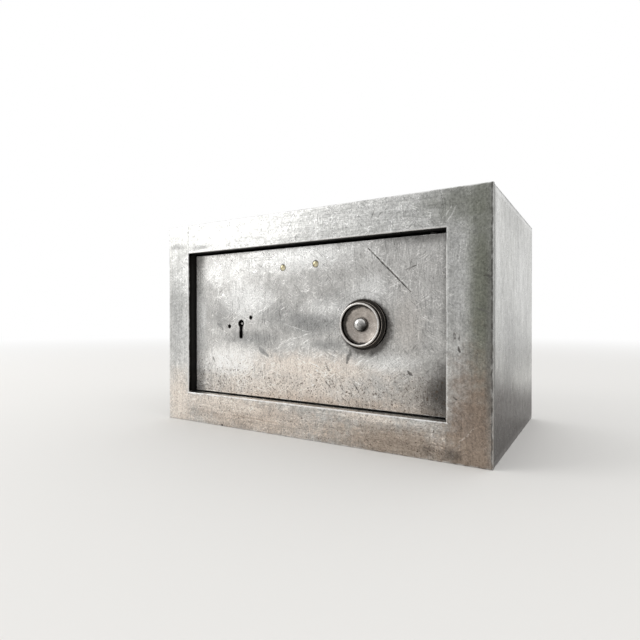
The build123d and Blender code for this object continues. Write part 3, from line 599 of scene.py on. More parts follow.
@dataclass(frozen=True)
class LineMark(Mark):
    """A line cut into or raised on a surface, with its own tone: a scratch, a seam, or a band of painted shade
    by the keyhole.
    """

    start: Point
    end: Point
    width: float
    tone: Rgb
    strength: float = 0.8
    height: float = -0.6
    wobble: float = 1.6
    taper: float = 1.0

    def mask(self, surface: Surface) -> Socket:
        """The line between its ends."""
        ends = {"Start": self.start, "End": self.end}
        return surface.mask(Line, **ends, Width=self.width, Wobble=self.wobble, Taper=self.taper)


@dataclass(frozen=True)
class Ring(Mark):
    """A ring about an axis along Y, for dirt and wear, and for painted shade, shadow and highlight."""

    middle: Point
    radius: float
    width: float
    tone: Rgb
    strength: float = 0.8
    height: float = 0.0

    def mask(self, surface: Surface) -> Socket:
        """The band about its middle."""
        return surface.mask(Band, Middle=self.middle, Radius=self.radius, Width=self.width)


@dataclass(frozen=True)
class PaintedFootReflection(Mark):
    """A painted dark reflection at the foot of one side of the case, within a few millimetres of its plane."""

    side: float
    front: float
    back: float
    tone: Rgb
    strength: float = 0.9
    nearness: Pair = (3.0, 6.0)

    def mask(self, surface: Surface) -> Socket:
        """The foot, only near its own side."""
        off = surface.maths("ABSOLUTE", surface.minus(surface.parts(surface.place)[0], self.side))
        here = surface.ramp(off, *self.nearness, 1.0, 0.0)
        return surface.times(surface.mask(FootReflection, Front=self.front, Back=self.back), here)


@dataclass(frozen=True)
class SoftPatch(Mark):
    """A soft patch of another tone, for stains and for painted light, shade and shadow."""

    middle: Point
    reach: Point
    tone: Rgb
    strength: float = 0.5
    unevenness: float = 1.2

    def mask(self, surface: Surface) -> Socket:
        """The patch about its middle."""
        return surface.mask(Spot, Middle=self.middle, Reach=self.reach, Unevenness=self.unevenness)


def face_marks(depth: float, soft_patches: Rows, rings: Rows, line_marks: Rows) -> Marks:
    """Marks on an upright face that looks forward: soft patches, over them rings, over those lines; they hold
    stains, dirt and wear, and also painted light and shade.

    Args:
        depth: Y of the face.
        soft_patches: X and Z of the middle, reach in X and in Z, tone, strength and unevenness.
        rings: X and Z of the middle, radius, width, tone, strength and height.
        line_marks: X and Z of the start and of the end, width, tone, strength, height, wobble and taper.

    Returns:
        The marks in the order of their rows.
    """
    return (
        *(SoftPatch((x, depth, z), (wide, PATCH_DEPTH, high), *look) for x, z, wide, high, *look in soft_patches),
        *(Ring((x, depth, z), *look) for x, z, *look in rings),
        *(LineMark((x, depth, z), (to_x, depth, to_z), *look) for x, z, to_x, to_z, *look in line_marks),
    )


DOOR_MARKS = face_marks(
    DOOR_Y,
    soft_patches=(
        # Pale patches high on the left: partly lighter patina, partly a painted highlight.
        (-85, 138, 50, 20, PALE, 0.4),
        (-5, 147, 90, 17, PALE, 0.7),
        (-60, 112, 40, 22, PALE, 0.65),
        (22, 104, 30, 13, PALE, 0.45),
        # Painted light along the door's left edge, against the shade of the left stile.
        (-118, 92, 12, 70, PALE, 0.95, 0.3),
        (-55, 79, 40, 10, GREY, 0.75),
        (-90, 98, 16, 16, GREY, 0.45),
        (8, 92, 40, 13, GREY, 0.9),
        (-28, 100, 34, 14, GREY, 0.55),
        (34, 112, 26, 11, GREY, 0.35),
        (62, 118, 26, 16, PALE, 0.5),
        (92, 118, 26, 40, (0.5, 0.49, 0.475), 0.6),
        (22, 75, 20, 6, GREY, 0.7),
        # Browner lower right: partly patina, partly a painted reflection of a warm floor.
        (100, 36, 46, 32, (0.40, 0.365, 0.33), 0.7),
        (100, 88, 26, 30, GREY, 0.25),
        # Pale and warm bands low on the door: partly patina, partly a painted reflection of a warm floor.
        (-78, 58, 56, 20, (0.95, 0.93, 0.90), 1.0),
        (5, 56, 95, 17, PALE_WARM, 0.95),
        (72, 64, 34, 10, PALE, 0.7),
        (-20, 38, 130, 18, PALE_WARM, 0.8),
        (20, 24, 190, 16, WARM, 0.7),
        # Darker lower right corner: partly dirt, partly a painted reflection.
        (118, 43, 27, 36, SOOT_AND_SHADE, 0.95, 0.9),
        # Painted shade along the gap at the door's right edge.
        (118, 110, 5, 75, SLATE, 0.5),
        # Painted shade under the top of the opening.
        (105, 154, 40, 8, SOOT_AND_SHADE, 0.55),
        # Painted shadow of the knob, to its lower right.
        (61, 85, 29, 29, SOOT_AND_SHADE, 0.8, 0.3),
        (90, 92, 18, 30, PALE_WARM, 0.2),
    ),
    rings=(
        (-66.4, 91.6, 4.4, 0.8, PALE, 0.4, 0.2),
        # Painted shadow of the knob: a ring shifted to its lower right.
        (56.7, 89.6, 17.2, 6.2, SOOT_AND_SHADE, 0.75),
        (54.5, 91.6, 25.0, 0.7, GREY, 0.35, -0.3),
        # Painted shade round the foot of the two stud heads.
        (-20.35, 138.8, 2.6, 0.6, SOOT_AND_SHADE, 0.8),
        (11.95, 140.0, 2.6, 0.6, SOOT_AND_SHADE, 0.85),
        # Painted shade round the keyhole and the two small holes.
        (-66.4, 91.6, 2.9, 0.7, INK, 0.9),
        (-80.1, 88.9, 1.4, 0.8, INK, 0.9),
        (-55.2, 96.9, 1.4, 0.8, INK, 0.9),
        (85.6, 50.5, 5.6, 0.8, SLATE, 0.22, -0.5),
    ),
    line_marks=(
        # Painted shade widening the keyhole's dark slot.
        (-66.4, 89, -66.4, 80.3, 6.2, INK, 1.0, -0.4, 0.3, 0.0),
        (58.5, 149, 92.3, 115.1, 1.2, SOOT_AND_SHADE, 1.0, -1.5, 0.5, 0.4),
        (59.6, 149.6, 93.4, 116, 0.8, PALE, 0.6, 0.3, 0.5, 0.4),
        (87, 130.5, 98.5, 134.5, 1.5, SOOT_AND_SHADE, 0.8, -0.8),
        (93.5, 140, 90.5, 128, 1.0, SLATE, 0.7, -0.5),
        (97.5, 142, 97, 130, 1.0, PALE, 0.6, -0.4),
        (74, 143.5, 73, 133, 1.1, PALE, 0.5, -0.4),
        (76.5, 142, 75.5, 134, 0.9, SLATE, 0.5, -0.4),
        (43.8, 70.5, 40.6, 62.5, 4.6, SLATE, 0.85, -0.6, 5.0, 0.3),
        (-44.5, 69.5, -36.5, 63.5, 5.4, GREY, 0.9, -0.4, 5.0, 0.3),
        (21.5, 60.5, 24.5, 55.5, 2.4, SLATE, 0.95, -0.8, 4.0, 0.1),
        (-94.5, 92, -88.5, 87.5, 5.0, GREY, 0.85, -0.3, 5.0, 0.3),
        (-101.5, 61, -97.5, 55, 2.2, SLATE, 0.7, -0.5, 2.5),
        (20, 47.5, 27, 41, 1.3, SOOT_AND_SHADE, 0.9, -1.2),
        (45.5, 47, 51, 40.5, 1.3, SOOT_AND_SHADE, 0.9, -1.2),
        (90, 58.5, 93.5, 55.5, 3.0, SOOT_AND_SHADE, 0.85, -1.0, 2.0, 0.6),
        (-75, 150, -20, 147.5, 0.7, GREY, 0.6, -0.3),
        (-70, 147, -25, 146, 0.6, GREY, 0.6, -0.3),
        (-77, 114, -76, 97, 0.8, SLATE, 0.6, -0.4),
        (-72, 119, -71.5, 99, 0.7, PALE, 0.6, -0.4),
        (-69, 117, -68.5, 102, 0.6, SLATE, 0.5, -0.4),
        (-57, 97, -28, 110, 0.7, PALE, 0.6, -0.3),
        (-20, 92, 8, 84, 0.7, PALE, 0.6, -0.3),
        (-14, 78, 12, 86, 0.8, PALE, 0.6, -0.3),
    ),
)

FRONT_MARKS = face_marks(
    FRONT_Y,
    soft_patches=(
        (127.5, 105, 3.6, 110, PALE, 0.30, 0.5),
        # The right stile, olive: partly patina, partly painted shade.
        (143, 110, 15, 130, OLIVE, 0.95, 0.4),
        (136, 172, 44, 22, OLIVE, 0.65),
        (126, 100, 9, 90, SLATE, 0.3, 0.8),
        # Brown and warm patches low on the frame: partly patina, partly a painted reflection of a warm floor.
        (138, 22, 32, 75, (0.25, 0.19, 0.148), 0.9),
        (84, 8, 96, 24, (0.40, 0.32, 0.255), 0.85),
        (-50, 12, 120, 26, (0.68, 0.58, 0.50), 0.8),
        (-80, 20, 70, 10, PALE_WARM, 0.8),
        # A painted highlight on the bottom rail, below the opening.
        (58, 24, 44, 6, PALE_WARM, 0.75),
        # Warm patch at the foot of the left stile: partly patina, partly a painted reflection of a warm floor.
        (-136, 18, 26, 44, PALE_WARM, 0.9),
        # Pale band high on the left of the top rail: partly lighter patina, partly a painted highlight.
        (-50, 172, 140, 20, PALE, 0.35),
        (-139, 95, 16, 55, GREY, 0.45),
        (-108, 162, 20, 4, GREY, 0.8),
        (-138, 164, 16, 4, GREY, 0.8),
        (124, 6, 10, 7, SOOT_AND_SHADE, 0.55),
        (108, 7, 9, 6, SOOT_AND_SHADE, 0.4),
        (148, 75, 4, 80, SLATE, 0.5),
    ),
    rings=(),
    line_marks=(
        (-81.6, 0.2, -80.4, 1, 2.8, SOOT_AND_SHADE, 1.0, -4.0, 0.5, 0.3),
        (125, 87.5, 126.4, 82.4, 2.4, SOOT_AND_SHADE, 0.85, -1.6, 2.0),
        (128.6, 85, 129.2, 81, 2.0, SLATE, 0.85, -1.4, 2.0),
        (128, 78.5, 129.2, 73.5, 2.4, SOOT_AND_SHADE, 0.85, -1.6, 2.0),
        (124, 44.5, 128, 42.5, 1.8, SOOT_AND_SHADE, 0.85, -1.2),
        (-80, 11.6, -5, 9.8, 1.2, BROWN, 0.45, -0.2, 3.0),
        (120.6, 160.5, 127.9, 171.5, 1.6, PALE, 0.45, -0.4, 2.5),
        (117.5, 163, 124.5, 171.5, 1.2, PALE, 0.35, -0.3, 2.5),
        (115.5, 164.5, 121, 171, 1.0, SLATE, 0.45, -0.3, 2.5),
        (131.5, 17.5, 138.5, 26, 1.2, PALE_WARM, 0.35, -0.5, 4.0),
        (129, 15.5, 133, 19.5, 1.6, PALE_WARM, 0.4, -0.5, 3.0),
        (138.5, 104, 149, 99.5, 1.2, SLATE, 0.6, -0.5, 2.5),
        (143.5, 124.2, 150.2, 122.8, 2.2, SOOT_AND_SHADE, 0.7, -0.8, 2.0),
        (141, 76, 140, 66, 1.2, SLATE, 0.5, -0.5, 2.5),
        (63, 165, 70.5, 179, 1.1, SLATE, 0.7, -0.4, 2.5),
        (66, 166, 82, 178, 0.9, SLATE, 0.5, -0.3, 2.5),
        (58, 162, 84, 166.5, 1.0, PALE, 0.5, -0.3, 2.5),
        (-123.5, 157, -123.5, 183, 0.9, GREY, 0.8, -0.6, 0.3, 0.0),
        (120, 157, 120, 183, 0.5, GREY, 0.3, -0.2, 0.3, 0.0),
        (-123.5, 0, -123.5, 27, 0.5, GREY, 0.3, -0.2, 0.3, 0.0),
        (120, 0, 120, 27, 0.5, GREY, 0.3, -0.2, 0.3, 0.0),
    ),
)

SEAM_MARKS = (
    SoftPatch((152, -86.5, 92), (8, 9, 260), SLATE, 0.55, 0.3),
    LineMark((149.4, -89.5, -20), (149.4, -89.5, 200), 1.5, SOOT_AND_SHADE, 0.75, -0.6, 1.8, 0),
    LineMark((150, -85.6, -20), (150, -85.6, 200), 3, SOOT_AND_SHADE, 0.95, -1.2, 2.6, 0),
    LineMark((-150, -85.4, -20), (-150, -85.4, 200), 1.2, SOOT_AND_SHADE, 0.8, -1, 1.2, 0),
    LineMark((-160, -85.4, 183), (160, -85.4, 183), 1.2, SOOT_AND_SHADE, 0.7, -1, 1.2, 0),
)

SIDE_MARKS = (
    # The right side's dark foot is a painted reflection; the left side and the back grow darker towards the
    # bottom.
    PaintedFootReflection(150, 48, 22, (0.062, 0.048, 0.042), 0.92),
    SoftPatch((-150, 0, 2), (30, 170, 34), (0.20, 0.175, 0.155), 0.7, 0.4),
    SoftPatch((0, 89.5, 2), (220, 30, 32), (0.20, 0.175, 0.155), 0.7, 0.4),
    SoftPatch((150, -75, 150), (20, 12, 60), PALE, 0.5),
    SoftPatch((150, 30, 130), (20, 60, 40), PALE, 0.4),
    SoftPatch((150, -30, 80), (20, 60, 36), GREY, 0.4),
    SoftPatch((150, 10, 66), (20, 130, 24), GREY, 0.4),
    LineMark((150, -30, 150), (150, -12, 96), 0.9, PALE, 0.5, -0.3),
    LineMark((-150, -20, 120), (-150, 35, 98), 0.8, SLATE, 0.6, -0.5),
    LineMark((-150, 20, 60), (-150, 60, 71), 0.8, PALE, 0.6, -0.5),
    LineMark((-60, 89.5, 130), (-10, 89.5, 118), 0.8, SLATE, 0.6, -0.5),
    LineMark((40, 89.5, 60), (82, 89.5, 78), 0.8, PALE, 0.6, -0.5),
)

EDGE_MARKS = (
    LineMark((150, -80, 181.6), (150, 89, 181.8), 2, SLATE, 0.85, -0.8, 2.6, 0),
    *SEAM_MARKS,
)

HAND_STROKES = (
    # turn in radians, width, length, share of the patches, change of tone
    (0.55, 0.80, 8.0, 0.30, 1.1),
    (2.35, 0.75, 7.0, 0.30, -0.9),
    (1.45, 0.60, 20.0, 0.26, 1.1),
    (1.70, 0.75, 12.0, 0.30, -0.9),
    (0.95, 0.85, 6.0, 0.30, -0.9),
    (2.75, 0.85, 6.0, 0.30, 1.1),
)
# size of each kind of pit, and its part of the share
PIT_SIZES = ((1.2, 1.15), (2.3, 0.72), (6.0, 0.55))


@dataclass(frozen=True)
class Finish:
    """What every finish has: a name and a way to build its material."""

    name: str

    def material(self) -> bpy.types.Material:
        """Build the finish's material."""
        raise NotImplementedError


@dataclass(frozen=True)
class Patina(Finish):
    """Steel that was stripped, brushed by hand and left to darken in clouds."""

    light: Rgb = (0.70, 0.70, 0.685)
    dark: Rgb = (0.44, 0.44, 0.425)
    worn: Rgb = (0.90, 0.90, 0.885)
    rust: Rgb = (0.12, 0.092, 0.072)
    grain: Grain = Grain.UPRIGHT
    cloud_size: float = 42.0
    cloud_share: float = 0.55
    swell: float = 8.0
    streak_size: float = 0.9
    streak_strength: float = 0.2
    streak_relief: float = 0.2
    speckle: float = 0.6
    speckle_relief: float = 0.25
    scoring: float = 0.4
    scoring_depth: float = 0.2
    roughness: float = 0.34
    matt_edge: float = 0.0
    matt_stretch: Pair = (-108.0, -119.0)
    pit_share: float = 0.08
    low_pits: float = 0.24
    pit_heights: Pair = (80.0, 42.0)
    pit_depth: float = 0.6
    edge: float = 1.0
    depth: float = 0.12
    wear_middle: Point = CASE_MIDDLE
    wear_reach: Point = CASE_REACH
    wear_width: float = 1.3
    wear_strength: float = 0.75
    has_rim: bool = False
    rim_width: float = 1.6
    marks: Marks = ()
    seams: Marks = ()

    def material(self) -> bpy.types.Material:
        """Build the steel.

        Returns:
            Its material.
        """
        surface = Surface(self.name)
        mottle = surface.mask(Clouds, Size=self.cloud_size / 7, Softness=0.2)
        self.brush(surface, mottle)
        self.score(surface)
        pits = self.pit(surface)
        self.wear(surface)
        surface.lay(self.seams)
        surface.cap()
        rough = surface.plus(surface.times(mottle, -0.08), self.roughness)
        rough = surface.plus(rough, surface.times(pits, 0.3))
        left = surface.ramp(surface.parts(surface.place)[0], *self.matt_stretch, 0.0, self.matt_edge)
        return surface.finish(self.depth, surface.plus(rough, left), 1.0, self.edge)

    def brush(self, surface: Surface, mottle: Feed) -> None:
        """Clouds of patina with the marks and the fine grain of the brush.

        Args:
            surface: the steel.
            mottle: mask of the small clouds.
        """
        clouds = surface.mask(Clouds, Size=self.cloud_size, Softness=0.16)
        share = surface.plus(
            surface.times(clouds, self.cloud_share), surface.times(mottle, 1.0 - self.cloud_share),
        )
        surface.tone = surface.tint(share, self.dark, self.light)
        surface.height = surface.times(surface.noise(surface.place, 0.03, detail=4.0), self.swell)
        surface.lay(self.marks)
        streaks, relief = surface.effect(
            Brushing, Place=surface.place, Stretch=self.grain.value, Size=self.streak_size,
        ).outputs
        streaks = surface.times(surface.minus(streaks, 0.5), self.streak_strength)
        speckle = surface.mask(Clouds, Size=1.2, Softness=0.25)
        surface.shade(surface.plus(surface.times(surface.minus(speckle, 0.5), self.speckle), streaks))
        surface.lift(relief, self.streak_relief)
        surface.lift(speckle, self.speckle_relief)

    def score(self, surface: Surface) -> None:
        """Strokes of brush and emery cloth in several directions.

        Args:
            surface: the steel.
        """
        for turn, width, length, share, change in HAND_STROKES:
            mask = surface.mask(Strokes, Turn=turn, Width=width, Length=length, Share=share)
            surface.shade(surface.times(mask, change * self.scoring))
            surface.lift(mask, -self.scoring_depth)

    def pit(self, surface: Surface) -> Socket:
        """Rust pits, more of them near the foot.

        Args:
            surface: the steel.

        Returns:
            The mask of the pits.
        """
        low = surface.ramp(surface.parts(surface.place)[2], *self.pit_heights)
        share = surface.plus(surface.times(low, self.low_pits), self.pit_share)
        pits = 0.0
        for size, part in PIT_SIZES:
            more = surface.mask(Pits, Size=size, Share=surface.times(share, part))
            pits = surface.maths("MAXIMUM", pits, more)
        surface.cover(surface.times(pits, 0.8), self.rust)
        surface.lift(pits, -self.pit_depth)
        return pits

    def wear(self, surface: Surface) -> None:
        """Bright wear on the arrises and round the opening, with its dark reveal, partly black paint and partly
        painted shade, left bare on the sill.

        Args:
            surface: the steel.
        """
        wear = surface.mask(ArrisWear, Middle=self.wear_middle, Reach=self.wear_reach, Width=self.wear_width)
        surface.cover(surface.times(wear, self.wear_strength), self.worn)
        if self.has_rim:
            rim, inside, sill = surface.effect(
                RimWear, Place=surface.place, Middle=RIM_MIDDLE, Reach=RIM_REACH, Width=self.rim_width,
            ).outputs
            bare = surface.tone
            # The reveal: black paint and painted shade; the sill, which faces up, keeps the bare tone.
            surface.cover(inside, REVEAL_PAINT_AND_SHADE)
            surface.cover(sill, bare)
            surface.cover(rim, self.worn)


@dataclass(frozen=True)
class Turned(Finish):
    """Metal turned on a lathe about a line along Y, with fine rings."""

    tone: Rgb = (0.57, 0.525, 0.48)
    dark: Rgb = (0.24, 0.205, 0.18)
    axis: Point = (KNOB[0], 0.0, KNOB[1])
    roughness: float = 0.26
    dirt: float = 0.6
    edge: float = 1.0
    depth: float = 0.02
    marks: Marks = ()

    def material(self) -> bpy.types.Material:
        """Build the turned metal.

        Returns:
            Its material.
        """
        surface = Surface(self.name)
        offset = surface.vector("MULTIPLY", surface.vector("SUBTRACT", surface.place, self.axis), FACE_ON)
        lathe_place = surface.joined(surface.vector("LENGTH", offset), surface.parts(surface.place)[1])
        rings = surface.noise(lathe_place, 1.6, detail=3.0, rough=0.7)
        clouds = surface.mask(Clouds, Size=5.0, Softness=0.2)
        surface.tone = surface.tint(surface.times(clouds, self.dirt), self.tone, self.dark)
        surface.cover(surface.ramp(rings, 0.38, 0.66, 0.0, 0.5), self.dark)
        surface.height = surface.times(rings, 0.6)
        surface.lay(self.marks)
        speckle = surface.mask(Clouds, Size=0.9, Softness=0.25)
        surface.tone = surface.scaled(surface.tone, surface.ramp(speckle, 0.0, 1.0, 0.78, 1.18))
        surface.cap()
        rough = surface.ramp(clouds, 0.0, 1.0, self.roughness, self.roughness + 0.14)
        return surface.finish(self.depth, rough, 1.0, self.edge)


@dataclass(frozen=True)
class Worked(Finish):
    """Filed, blued, cast or brass metal of the inside, with darker clouds and a fine brushed grain."""

    tone: Rgb = (0.45, 0.44, 0.42)
    dark: Rgb = (0.20, 0.19, 0.18)
    grain: Grain = Grain.LEVEL
    size: float = 9.0
    grain_size: float = 0.6
    roughness: float = 0.38
    metallic: float = 1.0
    depth: float = 0.03

    def material(self) -> bpy.types.Material:
        """Build the metal.

        Returns:
            Its material.
        """
        surface = Surface(self.name)
        clouds = surface.mask(Clouds, Size=self.size, Softness=0.2)
        streaks, surface.height = surface.effect(
            Brushing, Place=surface.place, Stretch=self.grain.value, Size=self.grain_size,
        ).outputs
        surface.tone = surface.tint(surface.times(clouds, 0.7), self.tone, self.dark)
        rough = surface.ramp(streaks, 0.0, 1.0, self.roughness, self.roughness + 0.16)
        return surface.finish(self.depth, rough, self.metallic)


@dataclass(frozen=True)
class Enamel(Finish):
    """Old dark enamel, rubbed through to the steel at the edges and in small chips."""

    wear_middle: Point
    wear_reach: Point
    tone: Rgb = (0.050, 0.058, 0.055)
    faded: Rgb = (0.10, 0.11, 0.105)
    bare: Rgb = (0.33, 0.32, 0.30)
    depth: float = 0.05

    def material(self) -> bpy.types.Material:
        """Build the enamel.

        Returns:
            Its material.
        """
        surface = Surface(self.name)
        clouds = surface.mask(Clouds, Size=26.0, Softness=0.2)
        surface.tone = surface.tint(clouds, self.tone, self.faded)
        surface.height = surface.noise(surface.place, 0.5, detail=4.0)
        chips = surface.mask(Pits, Size=9.0, Share=0.22)
        wear = surface.mask(ArrisWear, Middle=self.wear_middle, Reach=self.wear_reach, Width=1.4)
        bare = surface.maths("MAXIMUM", chips, wear)
        surface.cover(bare, self.bare)
        surface.lift(bare, -1.5)
        return surface.finish(self.depth, surface.ramp(clouds, 0.0, 1.0, 0.38, 0.55), bare)


@dataclass(frozen=True)
class Plaster(Finish):
    """Cast chalky fill."""

    tone: Rgb = (0.62, 0.58, 0.50)
    dark: Rgb = (0.46, 0.42, 0.35)
    depth: float = 0.3

    def material(self) -> bpy.types.Material:
        """Build the fill.

        Returns:
            Its material.
        """
        surface = Surface(self.name)
        clouds = surface.mask(Clouds, Size=14.0, Softness=0.2)
        surface.tone = surface.tint(clouds, self.tone, self.dark)
        pores = surface.mask(Pits, Size=2.5, Share=0.4)
        surface.height = surface.minus(clouds, pores)
        return surface.finish(self.depth, surface.ramp(pores, 0.0, 1.0, 0.85, 0.97), 0.0)


def dress(finish: Finish, *names: str) -> None:
    """Give CAD nodes a finish.

    Args:
        finish: what they get.
        names: the nodes.
    """
    material = finish.material()
    for name in names:
        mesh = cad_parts[name].data
        mesh.materials.clear()
        mesh.materials.append(material)
    log.info("finish %s on %s", finish.name, ", ".join(names))


def cut_slot(shape: bmesh.types.BMesh, middle: Pair, slot: Point) -> None:
    """Cut a screwdriver slot into the face of a turned head.

    Args:
        shape: the mesh.
        middle: X and Z of the head's axis.
        slot: its turn in radians, half its width and its depth.
    """
    turn, half, depth = slot
    across = Vector((-math.sin(turn), 0.0, math.cos(turn)))
    start = Vector((middle[0], 0.0, middle[1]))
    level = Vector(FACE_ON)
    for offset in (-half - SLOT_STEP, -half, half, half + SLOT_STEP):
        near = [face for face in shape.faces if (face.calc_center_median() * level - start).length < STUD_REACH]
        edges = list({edge for face in near for edge in face.edges})
        verts = list({vert for face in near for vert in face.verts})
        cut = {"plane_co": start + across * offset, "plane_no": across}
        bmesh.ops.bisect_plane(shape, geom=near + edges + verts, **cut)
    for vert in shape.verts:
        out = vert.co * level - start
        in_slot = abs(out.dot(across)) <= half + SLACK
        if in_slot and out.length < STUD_REACH and vert.co.y < DOOR_Y - 2 * SLACK:
            vert.co.y += depth


def turned_piece(
    name: str, outline: tuple[Pair, ...], middles: tuple[Pair, ...], steps: int, slots: tuple[Point, ...] = (),
) -> bpy.types.Object:
    """Turn an outline about lines along Y.

    Args:
        name: the piece's name.
        outline: radius and depth behind the front frame of each point, from the middle out.
        middles: X and Z of each turned copy's axis.
        steps: divisions round the axis.
        slots: the slot of each copy, if they have one.

    Returns:
        The new object, smooth, with its corners softened, or left crisp where it has slots.
    """
    mesh = bpy.data.meshes.new(name)
    shape = bmesh.new()
    for middle_x, middle_z in middles:
        rings = []
        for radius, depth in outline:
            turns = [2 * math.pi * step / steps for step in range(steps if radius > 0 else 1)]
            places = [(radius * math.cos(turn), radius * math.sin(turn)) for turn in turns]
            rings.append([shape.verts.new((middle_x + x, FRONT_Y + depth, middle_z + z)) for x, z in places])
        for inner, outer in zip(rings, rings[1:]):
            for step in range(steps):
                follow = (step + 1) % steps
                corners = [inner[step % len(inner)], inner[follow % len(inner)]]
                corners += [outer[follow % len(outer)], outer[step % len(outer)]]
                shape.faces.new(list(dict.fromkeys(corners)))
    bmesh.ops.recalc_face_normals(shape, faces=shape.faces)
    for middle, slot in zip(middles, slots):
        cut_slot(shape, middle, slot)
    for face in shape.faces:
        face.smooth = True
    bmesh.ops.scale(shape, vec=(MM, MM, MM), verts=shape.verts)
    shape.to_mesh(mesh)
    shape.free()
    made = bpy.data.objects.new(name, mesh)
    bpy.context.scene.collection.objects.link(made)
    if slots:
        mesh.set_sharp_from_angle(angle=CORNER_ANGLE)
        return made
    bevel = made.modifiers.new("soft_corners", "BEVEL")
    bevel.width = CORNER_WIDTH * MM
    bevel.segments = 2
    bevel.limit_method = "ANGLE"
    bevel.angle_limit = CORNER_ANGLE
    return made


def place_piece(piece: bpy.types.Object, steel: bpy.types.Material, node: str, body: Body) -> None:
    """Give a made piece its material, and put it in a CAD node's place.

    Args:
        piece: the piece.
        steel: its material.
        node: the node that it replaces.
        body: the body that it rides on.
    """
    piece.data.materials.append(steel)
    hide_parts(node)
    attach(piece, body.value)
    log.info("piece %s", piece.name)


@dataclass
class Case:
    """The outer case: skin plates, front frame, jambs, stops, liner and fill."""

    # Painted shade on the sill, under the door.
    sill_painted_shade: SoftPatch = SoftPatch((0, -70.5, 27), (2000, 12, 200), SOOT_AND_SHADE, 0.97, 0.1)

    def build(self) -> None:
        """Dress every node of the case."""
        dress(Patina(
            "side_steel",
            light=(0.71, 0.71, 0.685),
            dark=(0.51, 0.51, 0.49),
            grain=Grain.SHORT_UPRIGHT,
            streak_size=1.0,
            streak_strength=0.42,
            speckle=0.4,
            scoring=0.25,
            pit_share=0.04,
            low_pits=0.02,
            edge=0.8,
            marks=SIDE_MARKS,
            seams=EDGE_MARKS,
        ), "left_side_plate", "right_side_plate", "back_plate")
        dress(Patina(
            "level_steel", grain=Grain.LEVEL, streak_size=1.0, speckle=0.35, pit_share=0.06, low_pits=0.0,
            marks=SIDE_MARKS, seams=EDGE_MARKS,
        ), "top_plate", "bottom_plate")
        dress(Patina(
            "stile_steel", has_rim=True, scoring=0.22, marks=FRONT_MARKS, seams=SEAM_MARKS,
        ), "left_stile", "right_stile")
        dress(Patina(
            "rail_steel", has_rim=True, grain=Grain.LEVEL, streak_size=0.8, streak_strength=0.35, low_pits=0.34,
            marks=FRONT_MARKS, seams=SEAM_MARKS,
        ), "top_rail", "bottom_rail")
        # Jambs and stops: partly black paint, partly painted shade.
        dress(Worked(
            "jamb_black_and_shade", tone=REVEAL_PAINT_AND_SHADE, dark=(0.007, 0.007, 0.006), grain=Grain.UPRIGHT, roughness=0.55,
            metallic=0.6,
        ), "left_jamb", "right_jamb", "top_jamb", "left_stop", "top_stop", "bottom_stop")
        dress(Patina("sill_steel", grain=Grain.LEVEL, marks=(self.sill_painted_shade,)), "bottom_jamb")
        hinge_steel = Worked("hinge_steel", tone=(0.34, 0.33, 0.31))
        dress(hinge_steel, "upper_hinge_block", "lower_hinge_block", "thrust_washer")
        dress(
            Enamel("liner_enamel", wear_middle=(0.0, 11.0, 92.0), wear_reach=(118.5, 62.0, 60.0)),
            "liner_left", "liner_right", "liner_top", "liner_bottom", "liner_back",
        )
        dress(Plaster("cast_fill"), "fireproof_fill")


@dataclass
class Door:
    """The door: front plate, rim bars, cover, screws, studs and pins."""

    middle: Pair = (-1.75, 91.6)
    wear_reach: Pair = (120.55, 63.6)
    stud_slots: tuple[Point, ...] = ((0.9, 0.34, 0.55), (0.75, 0.34, 0.55))
    stud_outline: tuple[Pair, ...] = (
        (0, 8.1), (0.8, 8.13), (1.5, 8.28), (2.05, 8.52), (2.4, 8.82), (2.5, 9.0), (1.5, 9.0), (1.5, 14.9),
        (0, 14.9),
    )

    def wear_box(self, depth: float, half: float) -> dict[str, Point]:
        """Box whose arrises a plate is worn at, from the depth of its middle and half its thickness."""
        (x, z), (wide, high) = self.middle, self.wear_reach
        return {"wear_middle": (x, depth, z), "wear_reach": (wide, half, high)}

    def build(self) -> None:
        """Dress the door's nodes and make its studs."""
        dress(Patina(
            "door_steel",
            light=(0.68, 0.67, 0.65),
            dark=(0.40, 0.393, 0.38),
            grain=Grain.SHORT_UPRIGHT,
            streak_size=1.0,
            streak_strength=0.15,
            speckle=0.5,
            scoring=0.5,
            matt_edge=0.5,
            low_pits=0.46,
            marks=DOOR_MARKS,
            wear_width=1.0,
            **self.wear_box(-77.5, 3.0),
        ), "door_plate")
        bar_steel = Worked("door_bar_steel", tone=(0.33, 0.32, 0.30))
        dress(bar_steel, "door_lock_bar", "door_hinge_bar", "door_top_bar", "door_bottom_bar")
        dress(Enamel("cover_enamel", **self.wear_box(-55.5, 1.0)), "door_cover")
        dress(Worked("screw_steel", tone=(0.42, 0.41, 0.39)), "cover_screws", "lock_screws")
        dress(Worked("pin_steel", tone=(0.40, 0.39, 0.38)), "upper_hinge_pin", "lower_hinge_pin", "drill_pin")
        studs = turned_piece("brass_studs", self.stud_outline, STUDS, 48, self.stud_slots)
        brass = Worked("old_brass", tone=(0.80, 0.74, 0.52), dark=(0.44, 0.38, 0.24), size=2.0, roughness=0.3)
        place_piece(studs, brass.material(), "badge_studs", Body.DOOR)


